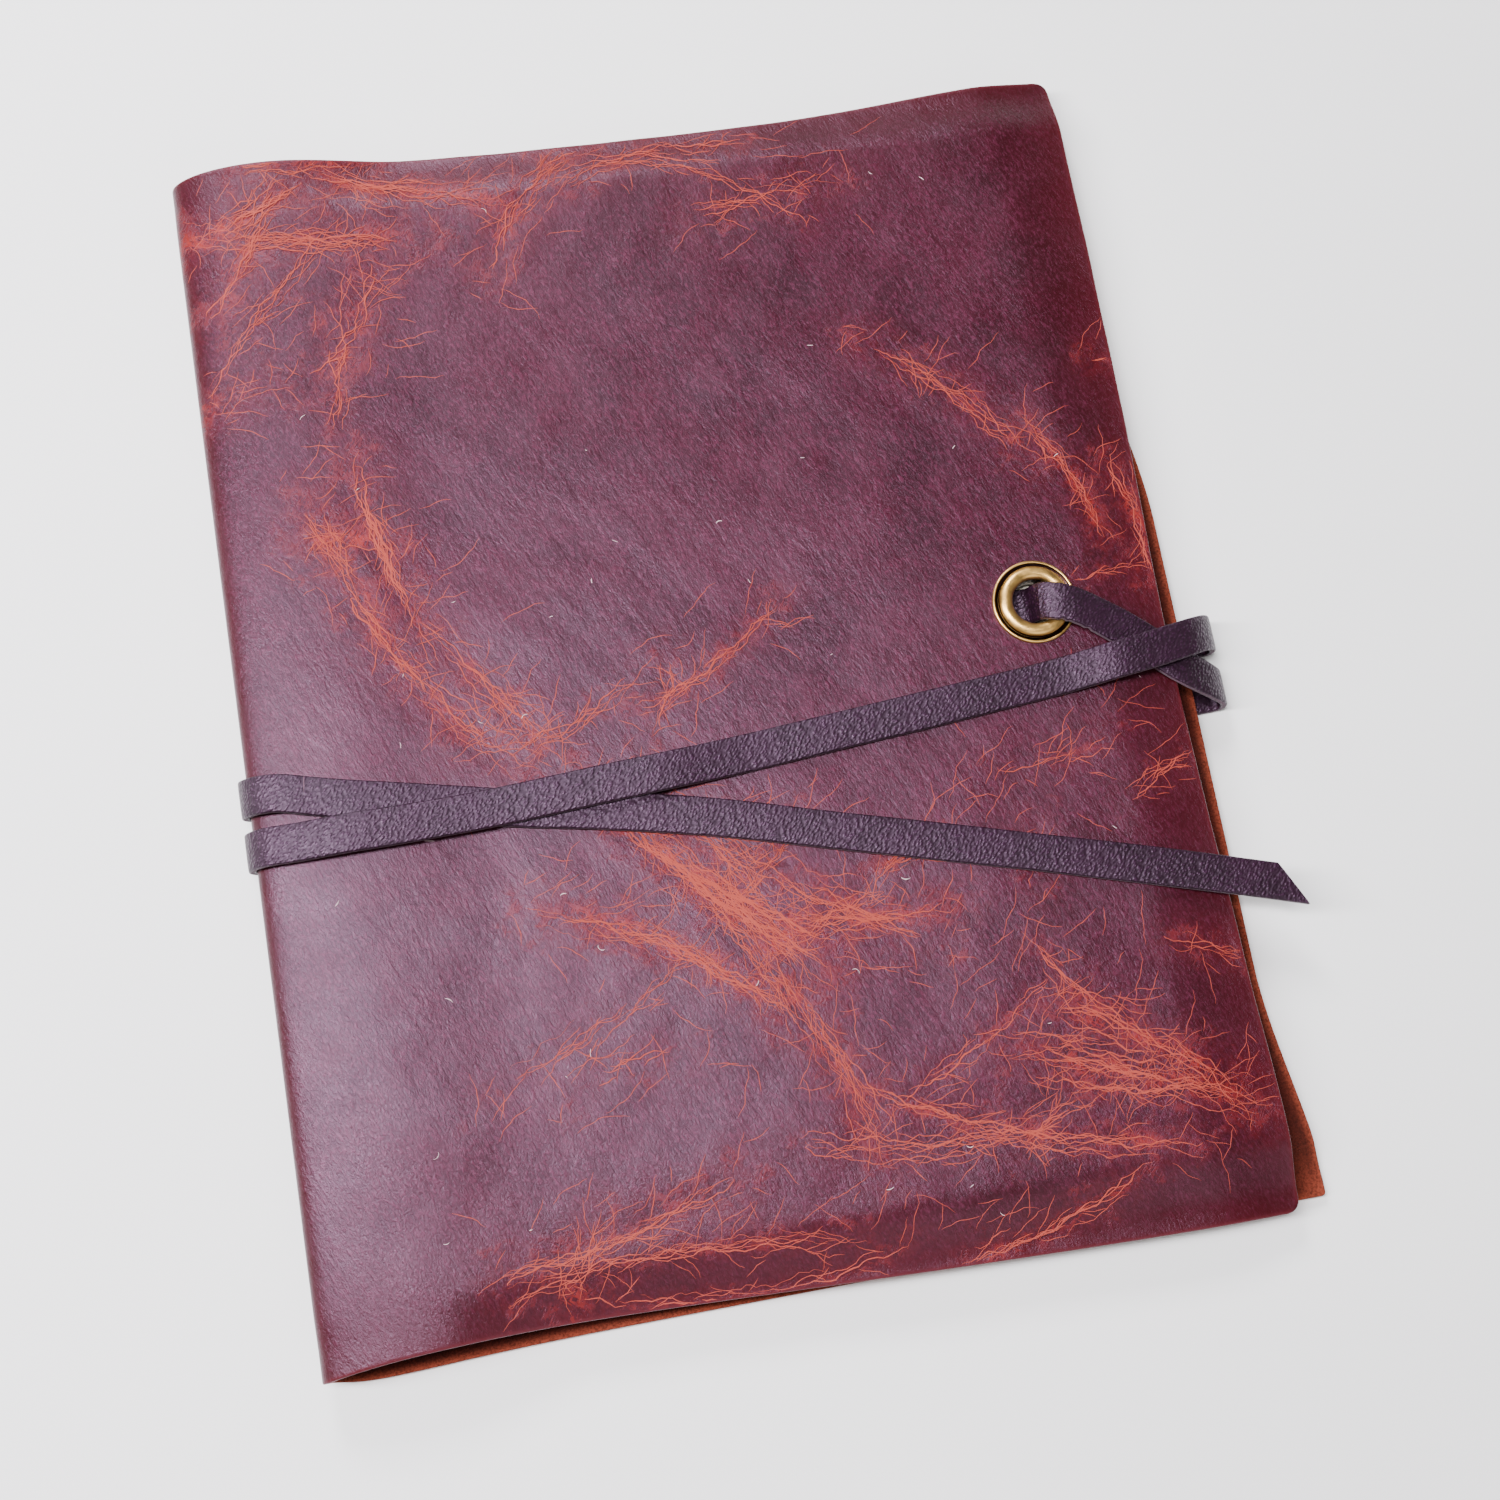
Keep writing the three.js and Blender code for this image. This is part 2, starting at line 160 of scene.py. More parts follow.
def turned(name, profile, x, y, sides, finishes, painted_dark_bands=()):
    """A piece turned on an upright axis, from radius and height pairs that end on the axis or close on
    themselves. Between the radius pairs given last, its points are marked to be painted dark: painted shade
    and painted reflection."""
    points, faces, rings = [], [], []
    for radius, height in profile:
        first = len(points)
        if radius == 0:
            points.append((x, y, height))
            rings.append([first] * sides)
            continue
        for k in range(sides):
            turn = math.tau * k / sides
            points.append((x + radius * math.cos(turn), y + radius * math.sin(turn), height))
        rings.append(list(range(first, first + sides)))
    closed = profile[0][0] > 0
    pairs = list(zip(rings, rings[1:])) + ([(rings[-1], rings[0])] if closed else [])
    for low, high in pairs:
        for k in range(sides):
            n = (k + 1) % sides
            corners = [low[k], low[n], high[n], high[k]]
            faces.append(list(dict.fromkeys(corners)))
    piece = new_piece(name, points, faces, finishes)
    tidy_normals(piece)
    smooth_shaded(piece, 40)
    radii = [math.hypot(px - x, py - y) for px, py, _ in points]
    held = [float(any(low <= r <= high for low, high in painted_dark_bands)) for r in radii]
    piece.data.attributes.new("painted_dark", "FLOAT", "POINT").data.foreach_set("value", held)
    return piece


def stations(start, end, step, ends=(0, 0.15, 0.45, 1, 2)):
    """Places from start to end, an even step apart, and closer together at both ends."""
    near = [start + e for e in ends]
    far = [end - e for e in reversed(ends)]
    between = np.linspace(near[-1], far[0], max(2, round((far[0] - near[-1]) / step) + 1))
    return np.array(near[:-1] + list(between) + far[1:])


# ---- Materials ----
class Finish:
    """One procedural material, with a principled shader fed by places in millimetres."""

    def __init__(self, name, **constants):
        self.material = bpy.data.materials.new(name)
        self.material.use_nodes = True
        self.tree = self.material.node_tree
        self.tree.nodes.clear()
        self.shader = self.node("ShaderNodeBsdfPrincipled")
        output = self.node("ShaderNodeOutputMaterial")
        self.tree.links.new(self.shader.outputs["BSDF"], output.inputs["Surface"])
        for socket, value in constants.items():
            self.shader.inputs[socket.replace("_", " ")].default_value = value
        place = self.node("ShaderNodeTexCoord").outputs["Object"]
        self.place = self.vector("SCALE", place, Scale=1 / MM)

    def node(self, kind, **settings):
        made = self.tree.nodes.new(kind)
        for name, value in settings.items():
            setattr(made, name, value)
        return made

    def feed(self, socket, value):
        if isinstance(value, bpy.types.NodeSocket):
            self.tree.links.new(value, socket)
        else:
            socket.default_value = value

    def vector(self, operation, a, b=None, **inputs):
        made = self.node("ShaderNodeVectorMath", operation=operation)
        self.feed(made.inputs[0], a)
        if b is not None:
            self.feed(made.inputs[1], b)
        for name, value in inputs.items():
            self.feed(made.inputs[name], value)
        return made.outputs["Vector"]

    def sum(self, operation, a, b=0.0, c=0.0, clamp=False):
        made = self.node("ShaderNodeMath", operation=operation, use_clamp=clamp)
        for socket, value in zip(made.inputs, (a, b, c)):
            self.feed(socket, value)
        return made.outputs[0]

    def between(self, value, low, high, start=0.0, end=1.0):
        """A smooth step of value from low to high, as start to end."""
        made = self.node("ShaderNodeMapRange", interpolation_type="SMOOTHSTEP")
        for name, number in (("Value", value), ("From Min", low), ("From Max", high),
                             ("To Min", start), ("To Max", end)):
            self.feed(made.inputs[name], number)
        return made.outputs["Result"]

    def blend(self, share, a, b):
        made = self.node("ShaderNodeMix", data_type="RGBA")
        self.feed(made.inputs["Factor"], share)
        self.feed(made.inputs["A"], a)
        self.feed(made.inputs["B"], b)
        return made.outputs["Result"]

    def stretched(self, turn, lengths, offset=(0, 0, 0)):
        """The place, turned about the upright and divided by one grain length in each direction."""
        made = self.node("ShaderNodeMapping", vector_type="TEXTURE")
        self.feed(made.inputs["Vector"], self.place)
        made.inputs["Location"].default_value = offset
        made.inputs["Rotation"].default_value = (0, 0, math.radians(turn))
        made.inputs["Scale"].default_value = lengths
        return made.outputs["Vector"]

    def noise(self, length, detail=2.0, roughness=0.5, at=None, distortion=0.0):
        made = self.node("ShaderNodeTexNoise")
        self.feed(made.inputs["Vector"], self.place if at is None else at)
        made.inputs["Scale"].default_value = 1 / length
        made.inputs["Detail"].default_value = detail
        made.inputs["Roughness"].default_value = roughness
        made.inputs["Distortion"].default_value = distortion
        return made.outputs[0]

    def cells(self, length, feature="DISTANCE_TO_EDGE", at=None):
        made = self.node("ShaderNodeTexVoronoi", feature=feature)
        self.feed(made.inputs["Vector"], self.place if at is None else at)
        made.inputs["Scale"].default_value = 1 / length
        return made.outputs["Distance"]

    def attribute(self, name):
        made = self.node("ShaderNodeAttribute", attribute_name=name)
        return made

    def relief(self, height, depth, strength=1.0):
        """Bump from a height of 0 to 1 that stands for depth, in millimetres."""
        made = self.node("ShaderNodeBump")
        made.inputs["Strength"].default_value = strength
        made.inputs["Distance"].default_value = depth * MM
        self.feed(made.inputs["Height"], height)
        return made

    def set(self, socket, value):
        self.feed(self.shader.inputs[socket], value)


def colour(red, green, blue):
    """A screen colour from 0 to 255 as the shader's linear colour."""
    def linear(c):
        c /= 255
        return c / 12.92 if c <= 0.04045 else ((c + 0.055) / 1.055) ** 2.4
    return (linear(red), linear(green), linear(blue), 1.0)


def line_of(finish, distance, width, softness):
    """1 on a line and 0 off it, from the distance to it."""
    return finish.between(distance, width, finish.sum("ADD", width, softness), 1.0, 0.0)


def contour_line(finish, at, thickness, softness, detail=2.0, distortion=0.4):
    """Thin branching lines: the places where a noise passes through its middle value."""
    height = finish.noise(1, detail, 0.55, at=at, distortion=distortion)
    away = finish.sum("ABSOLUTE", finish.sum("SUBTRACT", height, 0.5))
    return line_of(finish, away, thickness, softness)


def crease_threads(finish):
    """The threads that run beside the creases, thick at their hearts and breaking up further out."""
    patches = finish.noise(4.2, 4, 0.65)
    wiggle = finish.sum("MULTIPLY_ADD", finish.noise(5, 4, 0.65), 5.0, -2.5)
    drawn, hearts = None, None
    parts = []
    for name in ("crease_run", "crease_side", "crease_weight"):
        split = finish.node("ShaderNodeSeparateXYZ")
        finish.feed(split.inputs[0], finish.attribute(name).outputs["Vector"])
        parts.append(split.outputs)
    for k in range(3):
        run, side, weight = (part[k] for part in parts)
        side = finish.sum("ADD", side, wiggle)
        shown = finish.sum("MULTIPLY_ADD", weight, -0.42, 0.66)
        broken = finish.between(patches, shown, finish.sum("ADD", shown, 0.12))
        broken = finish.sum("MULTIPLY", broken, finish.between(weight, 0.05, 0.22))
        for length, width, most, soft, share in ((24, 4.6, 0.008, 0.014, 0.9), (9, 2.0, 0.005, 0.022, 0.5)):
            place = finish.node("ShaderNodeCombineXYZ")
            finish.feed(place.inputs[0], finish.sum("DIVIDE", run, length))
            finish.feed(place.inputs[1], finish.sum("DIVIDE", side, width))
            place.inputs[2].default_value = 7.3 * k + length
            thickness = finish.between(weight, 0.1, 0.95, 0.0, most)
            line = contour_line(finish, place.outputs[0], thickness, soft)
            line = finish.sum("MULTIPLY", finish.sum("MULTIPLY", line, broken), share)
            drawn = line if drawn is None else finish.sum("MAXIMUM", drawn, line)
        hearts = weight if hearts is None else finish.sum("MAXIMUM", hearts, weight)
    return drawn, hearts, patches


def oxblood_grain():
    """The waxed grain side: mottled burgundy that pulls up to rust along its creases."""
    f = Finish("oxblood_grain", Specular_IOR_Level=0.44, Specular_Tint=colour(240, 200, 234))
    wide = f.noise(38, 3, 0.55)
    cloud = f.noise(9, 4, 0.6)
    body = f.blend(f.between(wide, 0.35, 0.66), colour(34, 4, 8), colour(46, 8, 17))
    body = f.blend(f.between(cloud, 0.38, 0.7, 0.0, 0.55), body, colour(56, 11, 24))
    fibres = f.noise(1, 4, 0.68, at=f.stretched(-68, (1.4, 0.62, 1.0)), distortion=0.5)
    # the lighter mauve flecks on the raised fibres are partly the grain's own colour and partly a painted
    # sheen on the grain
    body = f.blend(f.between(fibres, 0.46, 0.70, 0.0, 0.45), body, colour(100, 42, 68))
    body = f.blend(f.between(fibres, 0.5, 0.26, 0.0, 0.7), body, colour(30, 4, 9))
    # painted shade: the leather is darkened towards its edges and down the spine's side, where it turns away
    # from the light
    edge = f.attribute("edge_painted_shade").outputs["Fac"]
    body = f.blend(f.sum("MULTIPLY", edge, 0.75), body, colour(56, 7, 9))

    threads, hearts, patches = crease_threads(f)
    wear = f.attribute("wear").outputs["Fac"]
    web = None
    hairs = ((44, (11, 2.6, 6), 0.012), (-28, (12, 3.4, 7), 0.012), (62, (6, 1.2, 4), 0.02))
    for turn, lengths, thickness in hairs:
        hair = contour_line(f, f.stretched(turn, lengths, (turn, 3 * turn, 0)), thickness, 0.03, 3, 0.8)
        web = hair if web is None else f.sum("MAXIMUM", web, hair)
    gap = f.sum("MULTIPLY_ADD", wear, -0.34, 0.70)
    web = f.sum("MULTIPLY", web, f.between(f.noise(7, 4, 0.62), gap, f.sum("ADD", gap, 0.14)))
    web = f.sum("MULTIPLY", web, f.between(wear, 0.06, 0.5, 0.0, 0.45))
    crease = f.sum("MAXIMUM", f.sum("MULTIPLY", threads, 0.32), web, clamp=True)

    halo_patches = f.between(f.noise(2.2, 4, 0.7), 0.38, 0.62, 0.05, 0.6)
    halo = f.sum("MULTIPLY", f.between(wear, 0.12, 1.0), halo_patches)
    body = f.blend(halo, body, colour(76, 14, 18))
    heat_patches = f.between(f.noise(3, 3, 0.6), 0.35, 0.6, 0.3, 1.0)
    heat = f.sum("MULTIPLY", f.between(hearts, 0.35, 0.95), heat_patches)
    rust = f.blend(heat, colour(104, 26, 26), colour(170, 44, 12))
    skin = f.blend(crease, body, rust)
    rubbed = f.attribute("rub").outputs["Fac"]
    skin = f.blend(f.between(rubbed, 0.1, 1.0, 0.0, 0.5), skin, colour(104, 38, 42))
    f.set("Base Color", skin)

    # grain: long slanting wrinkles, the fibrous grain itself, and the creases standing a little proud
    wrinkles = f.relief(f.noise(1, 3, 0.55, at=f.stretched(-66, (12, 3.6, 8)), distortion=0.5), 0.20)
    grain = f.relief(fibres, 0.13)
    f.feed(grain.inputs["Normal"], wrinkles.outputs[0])
    dust = f.relief(f.noise(0.5, 3, 0.6), 0.05)
    f.feed(dust.inputs["Normal"], grain.outputs[0])
    ridge = f.relief(crease, 0.10)
    f.feed(ridge.inputs["Normal"], dust.outputs[0])
    f.set("Normal", ridge.outputs[0])
    rough = f.between(f.noise(16, 4, 0.6), 0.3, 0.7, 0.31, 0.40)
    f.set("Roughness", f.sum("MULTIPLY_ADD", crease, 0.15, rough))
    return f.material


def suede_flesh():
    """The unfinished inside of the hide: short nap, with darker brushed patches."""
    f = Finish("suede_flesh", Roughness=0.95, Sheen_Weight=0.08, Sheen_Roughness=0.6,
               Sheen_Tint=colour(235, 150, 100), Specular_IOR_Level=0.15)
    brushed = f.noise(14, 4, 0.65)
    nap = f.noise(0.6, 3, 0.7)
    # painted shade: these colours are darker than the flesh's own, set for where it lies in the covers'
    # shadow
    tone = f.blend(f.between(brushed, 0.35, 0.65), colour(26, 4, 4), colour(46, 9, 6))
    tone = f.blend(f.between(nap, 0.34, 0.7, 0.0, 0.6), tone, colour(66, 21, 17))
    exposed = f.attribute("exposed").outputs["Fac"]
    raised = f.sum("MULTIPLY", exposed, f.between(nap, 0.3, 0.62, 0.35, 1.0))
    tone = f.blend(raised, tone, colour(134, 60, 42))
    f.set("Base Color", tone)
    fuzz = f.relief(nap, 0.35)
    lie = f.relief(f.noise(1, 3, 0.6, at=f.stretched(20, (2.4, 0.7, 1.5))), 0.25)
    f.feed(lie.inputs["Normal"], fuzz.outputs[0])
    f.set("Normal", lie.outputs[0])
    return f.material


def cut_edge(name, dark, light):
    """A knife-cut edge: fibres packed across the thickness."""
    f = Finish(name, Roughness=0.8, Sheen_Weight=0.15, Specular_IOR_Level=0.25)
    fibres = f.noise(0.35, 4, 0.7)
    stain = f.noise(9, 3, 0.6)
    tone = f.blend(f.between(fibres, 0.3, 0.7), dark, light)
    tone = f.blend(f.between(stain, 0.4, 0.75, 0.0, 0.45), tone, dark)
    f.set("Base Color", tone)
    f.set("Normal", f.relief(fibres, 0.18).outputs[0])
    return f.material


def strap_grain():
    """The lace's dyed top: nearly black aubergine with a close pebble."""
    f = Finish("strap_grain", Specular_IOR_Level=0.5, Specular_Tint=colour(232, 200, 232))
    pebbles = f.cells(1, "SMOOTH_F1", at=f.stretched(40, (0.95, 0.55, 0.7)))
    tone = f.blend(f.between(f.noise(11, 4, 0.6), 0.35, 0.68), colour(18, 4, 12), colour(28, 8, 22))
    # painted highlight: the raised tops of the pebbles are painted lighter
    tone = f.blend(f.between(pebbles, 0.42, 0.12, 0.0, 0.5), tone, colour(58, 30, 54))
    scuffed = f.noise(1, 3, 0.6, at=f.stretched(82, (16, 0.5, 8)))
    scuff = f.between(scuffed, 0.73, 0.78, 0.0, 0.6)
    tone = f.blend(scuff, tone, colour(166, 122, 134))
    f.set("Base Color", tone)
    grain = f.relief(pebbles, -0.26)
    creased = f.relief(f.noise(2.6, 4, 0.6), 0.22)
    f.feed(creased.inputs["Normal"], grain.outputs[0])
    f.set("Normal", creased.outputs[0])
    f.set("Roughness", f.between(pebbles, 0.1, 0.6, 0.34, 0.5))
    return f.material


def antique_brass(name, bright, dark, roughness):
    """Brass with its brown lacquer mostly rubbed off where it stands proud, and painted dark all over where
    the piece marks it, as painted shade and painted reflection.
    """
    f = Finish(name, Metallic=1.0, Coat_Weight=0.25, Coat_Roughness=0.2)
    patina = f.noise(2.4, 5, 0.65)
    scratch = f.noise(1, 3, 0.6, at=f.stretched(30, (3, 0.25, 0.6)))
    # the marked bands take the dark colour whole: painted shade in the bore, a painted reflection on the flat
    # band
    painted_dark = f.attribute("painted_dark").outputs["Fac"]
    proud = f.sum("SUBTRACT", 1.0, painted_dark)
    share = f.sum("MULTIPLY", proud, f.between(patina, 0.25, 0.5, 0.75, 1.0), clamp=True)
    f.set("Base Color", f.blend(share, dark, bright))
    f.set("Roughness", f.between(patina, 0.3, 0.75, roughness, roughness + 0.2))
    dents = f.relief(patina, 0.02)
    marks = f.relief(scratch, 0.012)
    f.feed(marks.inputs["Normal"], dents.outputs[0])
    f.set("Normal", marks.outputs[0])
    return f.material


def page_card():
    """Uncoated cream card with flecks of fibre."""
    f = Finish("page_card", Roughness=0.9, Specular_IOR_Level=0.25, Sheen_Weight=0.05)
    tone = f.blend(f.between(f.noise(40, 3, 0.5), 0.3, 0.7), colour(232, 222, 200), colour(240, 232, 214))
    fleck = f.between(f.noise(1, 3, 0.6, at=f.stretched(25, (2.2, 0.5, 1))), 0.7, 0.76, 0.0, 0.35)
    tone = f.blend(fleck, tone, colour(188, 168, 136))
    f.set("Base Color", tone)
    f.set("Normal", f.relief(f.noise(0.5, 4, 0.6), 0.06).outputs[0])
    return f.material


def grey_board():
    """Recycled grey board: coarse pressed fibres."""
    f = Finish("grey_board", Roughness=0.95, Specular_IOR_Level=0.2)
    fibres = f.noise(1, 4, 0.65, at=f.stretched(12, (2.4, 0.5, 0.5)))
    f.set("Base Color", f.blend(f.between(fibres, 0.3, 0.7), colour(116, 108, 96), colour(158, 150, 136)))
    f.set("Normal", f.relief(fibres, 0.12).outputs[0])
    return f.material


grain_finish = oxblood_grain()
flesh_finish = suede_flesh()
mauve_edge = cut_edge("mauve_cut_edge", colour(92, 34, 48), colour(168, 96, 108))
rust_edge = cut_edge("rust_cut_edge", colour(104, 34, 26), colour(186, 92, 62))
strap_finish = strap_grain()
strap_edge = cut_edge("strap_cut_edge", colour(34, 12, 24), colour(96, 56, 82))
brass_finish = antique_brass("antique_brass", colour(222, 178, 102), colour(52, 30, 26), 0.28)
dark_brass = antique_brass("dark_brass", colour(168, 128, 74), colour(62, 44, 28), 0.34)
card_finish = page_card()
board_finish = grey_board()


# ---- Tie strap: one flat lace, from its wide head inside the front cover, up through the eyelet,
# twice round the album and under its own first run; each point is on its middle line ----
strap_width = 9.5
strap_thickness = 1.8
strap_head_width = 17
strap_head_length = 14
strap_head_thickness = 1.3
strap_tip_slant = 9
strap_corner = 0.4
strap_step = 1.1
mouth_point = 6         # the route's point at the eyelet's mouth, where the free run begins
strap_route = [
    (183, 9.6, 10.43), (190, 8, 10.43), (196.5, 6.5, 10.43), (200.6, 5.7, 10.45),
    (203, 5.5, 11.8), (203.8, 5.4, 14), (204.8, 5.2, 16.4), (207.4, 4.4, 18.2),
    (211.2, 2.9, 18.6), (215.6, 0.7, 17.8), (220.5, -2.2, 16.5), (227, -6.9, 15.4),
    (233.5, -12.3, 14.4), (240, -17.6, 13.2), (246.5, -21, 9.7), (249.9, -22.2, 6),
    (250.5, -22.4, 3.8), (250.3, -22.6, 2.1), (249.4, -22.7, 1.15), (247.8, -22.8, 1),
    (240, -23, 1), (180, -24.2, 1), (110, -25.5, 1), (50, -26.4, 1), (14, -26.7, 1),
    (8.5, -26.8, 1.05), (3.65, -26.9, 2.2), (0.1, -27, 5.3), (-1.2, -27.1, 9.6),
    (0.1, -27.2, 13.9), (3.65, -27.3, 17.1), (8.5, -27.5, 18.35), (13, -27.6, 18.9),
    (19, -27.6, 20.2), (25, -27.5, 20.45), (34, -27.4, 19.9), (44, -27.1, 19.1),
    (55, -26.7, 18.35), (66, -26.1, 18), (86, -24.8, 17.95), (102, -23.9, 17.9),
    (113, -23.1, 16.8), (124, -22.2, 15.95), (145, -20.4, 15.85), (179, -17.5, 15.85),
    (205, -15.1, 16), (213, -14.3, 17.2), (220.5, -13.4, 18.6), (228, -12.4, 18.2),
    (236, -11, 17), (242.5, -9.6, 15), (247.4, -8.4, 11.2), (249.9, -7.9, 6.8),
    (250.5, -7.8, 3.9), (250.3, -7.7, 2.1), (249.4, -7.7, 1.15), (247.8, -7.7, 1),
    (240, -7.8, 1), (180, -9, 1), (110, -10.5, 1), (50, -12, 1), (14, -12.8, 1),
    (8.5, -12.9, 1.05), (3.65, -13.1, 2.2), (0.1, -13.4, 5.3), (-1.2, -13.7, 9.6),
    (0.1, -14, 13.9), (3.65, -14.3, 17.1), (8.5, -14.8, 18.35), (16, -16.7, 18.3),
    (24, -18.7, 18.3), (34, -20.8, 17.8), (44, -22.8, 17), (55, -25, 16.25),
    (66, -27.4, 15.9), (86, -31.1, 15.85), (110, -36.4, 15.85), (145, -46, 15.85),
    (180, -55.6, 15.85), (215, -65.4, 15.85), (240, -72.6, 15.5), (258, -78, 15.1),
]


def smooth_route(points):
    """Close points on a centripetal Catmull-Rom curve, and how far along it each given point is."""
    given = [np.array(p, float) for p in points]
    given = [2 * given[0] - given[1]] + given + [2 * given[-1] - given[-2]]
    line, marks = [], []
    for a, b, c, d in zip(given, given[1:], given[2:], given[3:]):
        ab, bc, cd = (math.sqrt(np.linalg.norm(q - p)) for p, q in ((a, b), (b, c), (c, d)))
        leave = ((b - a) / ab - (c - a) / (ab + bc) + (c - b) / bc) * bc
        arrive = ((c - b) / bc - (d - b) / (bc + cd) + (d - c) / cd) * bc
        marks.append(len(line))
        for t in np.arange(0, 1, 1 / 24):
            line.append(
                (2 * t**3 - 3 * t**2 + 1) * b + (t**3 - 2 * t**2 + t) * leave
                + (3 * t**2 - 2 * t**3) * c + (t**3 - t**2) * arrive
            )
    marks.append(len(line))
    line.append(given[-2])
    line = np.array(line)
    run = np.concatenate([[0], np.cumsum(np.linalg.norm(np.diff(line, axis=0), axis=1))])
    return line, run, run[marks]


def strap_section():
    """Half-size places round the lace, across and through, with rounded corners, and which of the
    stretches that follow them are cut edges."""
    places, edges = [], []
    across, through_ = strap_width / 2 - strap_corner, strap_thickness / 2 - strap_corner
    for quarter, (sx, sz) in enumerate(((1, 1), (-1, 1), (-1, -1), (1, -1))):
        for part in range(3):
            turn = math.radians(90 * quarter + 45 * part)
            places.append((
                sx * across + strap_corner * math.cos(turn), sz * through_ + strap_corner * math.sin(turn),
            ))
            edges.append(part == 2 and quarter in (1, 3))
        if quarter in (0, 2):
            for share in (0.2, 0.4, 0.6, 0.8):
                places.append((sx * across * (1 - 2 * share), sz * (strap_thickness / 2 + 0.05)))
                edges.append(False)
    return np.array(places), edges


def make_strap(name, start, end):
    """The lace between two distances along its route."""
    line, run, _ = smooth_route(strap_route)
    length = run[-1]
    section, cut = strap_section()
    steps = np.linspace(start, end, round((end - start) / strap_step) + 1)
    slant = strap_tip_slant * smooth(length - 24, length, steps)
    rings = []
    fray = random.Random(8)
    for step, lean in zip(steps, slant):
        head = 1 - smooth(strap_head_length - 5, strap_head_length, step)
        by_mouth = smooth(mouth + 5, mouth + 7, step) * (1 - smooth(mouth + 15, mouth + 18, step))
        frayed = fray.uniform(-0.1, 0.55) * by_mouth * (section[:, 0] < -strap_width / 2.2)
        roundness = min(step / (strap_head_width / 2), 1)
        head_width = strap_head_width * max(math.sqrt(1 - (1 - roundness) ** 2), 0.3)
        uneven = 1 + 0.018 * float(waves(step, 0.0, 60, 5))
        wide = (strap_width * uneven * (1 - head) + head_width * head) / strap_width
        thinned = 1 - smooth(strap_head_length + 4, strap_head_length + 8, step)
        thick = 1 + (strap_head_thickness / strap_thickness - 1) * thinned
        at = step - (0.5 + section[:, 0] / strap_width) * lean
        middle = np.stack([np.interp(at, run, line[:, k]) for k in range(3)], 1)
        ahead = np.stack([np.interp(at + 0.6, run, line[:, k]) for k in range(3)], 1)
        behind = np.stack([np.interp(at - 0.6, run, line[:, k]) for k in range(3)], 1)
        tangent = ahead - behind
        tangent /= np.linalg.norm(tangent, axis=1)[:, None]
        side = np.array([0, 1, 0]) - tangent * tangent[:, 1:2]
        side /= np.linalg.norm(side, axis=1)[:, None]
        up = np.cross(tangent, side)
        sideways = section[:, :1] * wide + frayed[:, None]
        rings.append(middle + side * sideways + up * (section[:, 1:] * thick))
    count = len(section)
    points = np.concatenate(rings)
    faces, finish_of = [], []
    for k in range(len(steps) - 1):
        for m in range(count):
            n = (m + 1) % count
            faces.append((k * count + m, k * count + n, (k + 1) * count + n, (k + 1) * count + m))
            finish_of.append(1 if cut[m] else 0)
    last = (len(steps) - 1) * count
    faces += [tuple(range(count)), tuple(range(last, last + count))]
    finish_of += [1, 1]
    piece = new_piece(name, points, faces, [strap_finish, strap_edge], finish_of)
    tidy_normals(piece)
    smooth_shaded(piece, 60)
    return piece


strap_line, strap_run, strap_marks = smooth_route(strap_route)
mouth = strap_marks[mouth_point]
strap_head = make_strap("lace_head", 0.0, mouth)
strap_free = make_strap("lace_run", mouth, strap_run[-1])
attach(strap_head, "front_cover")
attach(strap_free, "front_cover")
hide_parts("tie_strap")
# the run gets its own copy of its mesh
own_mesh(strap_free)


# ---- Cover: one hide, in two pieces that meet along the middle of the spine ----
leather = 2.2
spine_thickness = (spine_high.z - spine_low.z) / MM
half_height = (spine_high.y - spine_low.y) / 2 / MM
spine_radius = spine_thickness / 2
leaf_half_height = (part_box("leaf_01")[1].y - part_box("leaf_01")[0].y) / 2 / MM
resting_rim = 5
back_lift = box_of("leaf_01_margin")[0][2] - 0.025 - leather
washer_top = box_of("eyelet_washer")[1][2]
plateau = washer_top + 0.15 + leather
eyelet_middle = (box_of("eyelet")[0] + box_of("eyelet")[1]) / 2
eyelet_x, eyelet_y = eyelet_middle[0], eyelet_middle[1]
eyelet_radius = (box_of("eyelet")[1][0] - box_of("eyelet")[0][0]) / 2
front_width = box_of("front_panel")[1][0]
back_width = box_of("back_panel")[1][0]
shoulder_start, shoulder_end = 24, 62
roll_width, roll_power = 30, 2.8      # the upper half of the spine is a broad, squarish roll
edge_sag, fore_edge_sag = 4, 2.8
spine_head, spine_foot = half_height - 1.3, -half_height - 1.3
cover_step = 1.45
edge_round = 0.3
crease_sink = 0.25


def lift_at(y):
    """How far the back cover and the lower spine are held off the table."""
    return back_lift * (1 - smooth(leaf_half_height - 2, half_height - resting_rim, np.abs(y)))


def roll_height(x):
    """How far up the spine's broad upper roll has climbed, from 0 at its outermost line to 1."""
    inward = np.clip(1 - x / roll_width, 0, 1)
    return (1 - inward**roll_power) ** (1 / roll_power)


def front_top(x, y):
    """The front cover's outer face: the roll of the spine, the slack and the drooping edges."""
    shoulder = smooth(shoulder_start, shoulder_end, x)
    fore_edge = smooth(eyelet_x + eyelet_radius + 2, front_width, x)
    edge = smooth(leaf_half_height - 3, half_height, np.abs(y))
    near_eyelet = np.exp(-((x - eyelet_x) ** 2 + (y - eyelet_y) ** 2) / 22**2)
    slack = smooth(4, 40, x) * (1 - near_eyelet)
    uneven = 0.30 * waves(x, y, 46, 11) + 0.10 * waves(x, y, 17, 12)
    half = (spine_thickness - lift_at(y)) / 2
    return (
        spine_thickness - half * (1 - roll_height(x)) - (spine_thickness - plateau) * shoulder
        - fore_edge_sag * fore_edge - edge_sag * edge * shoulder
        + uneven * slack
    )


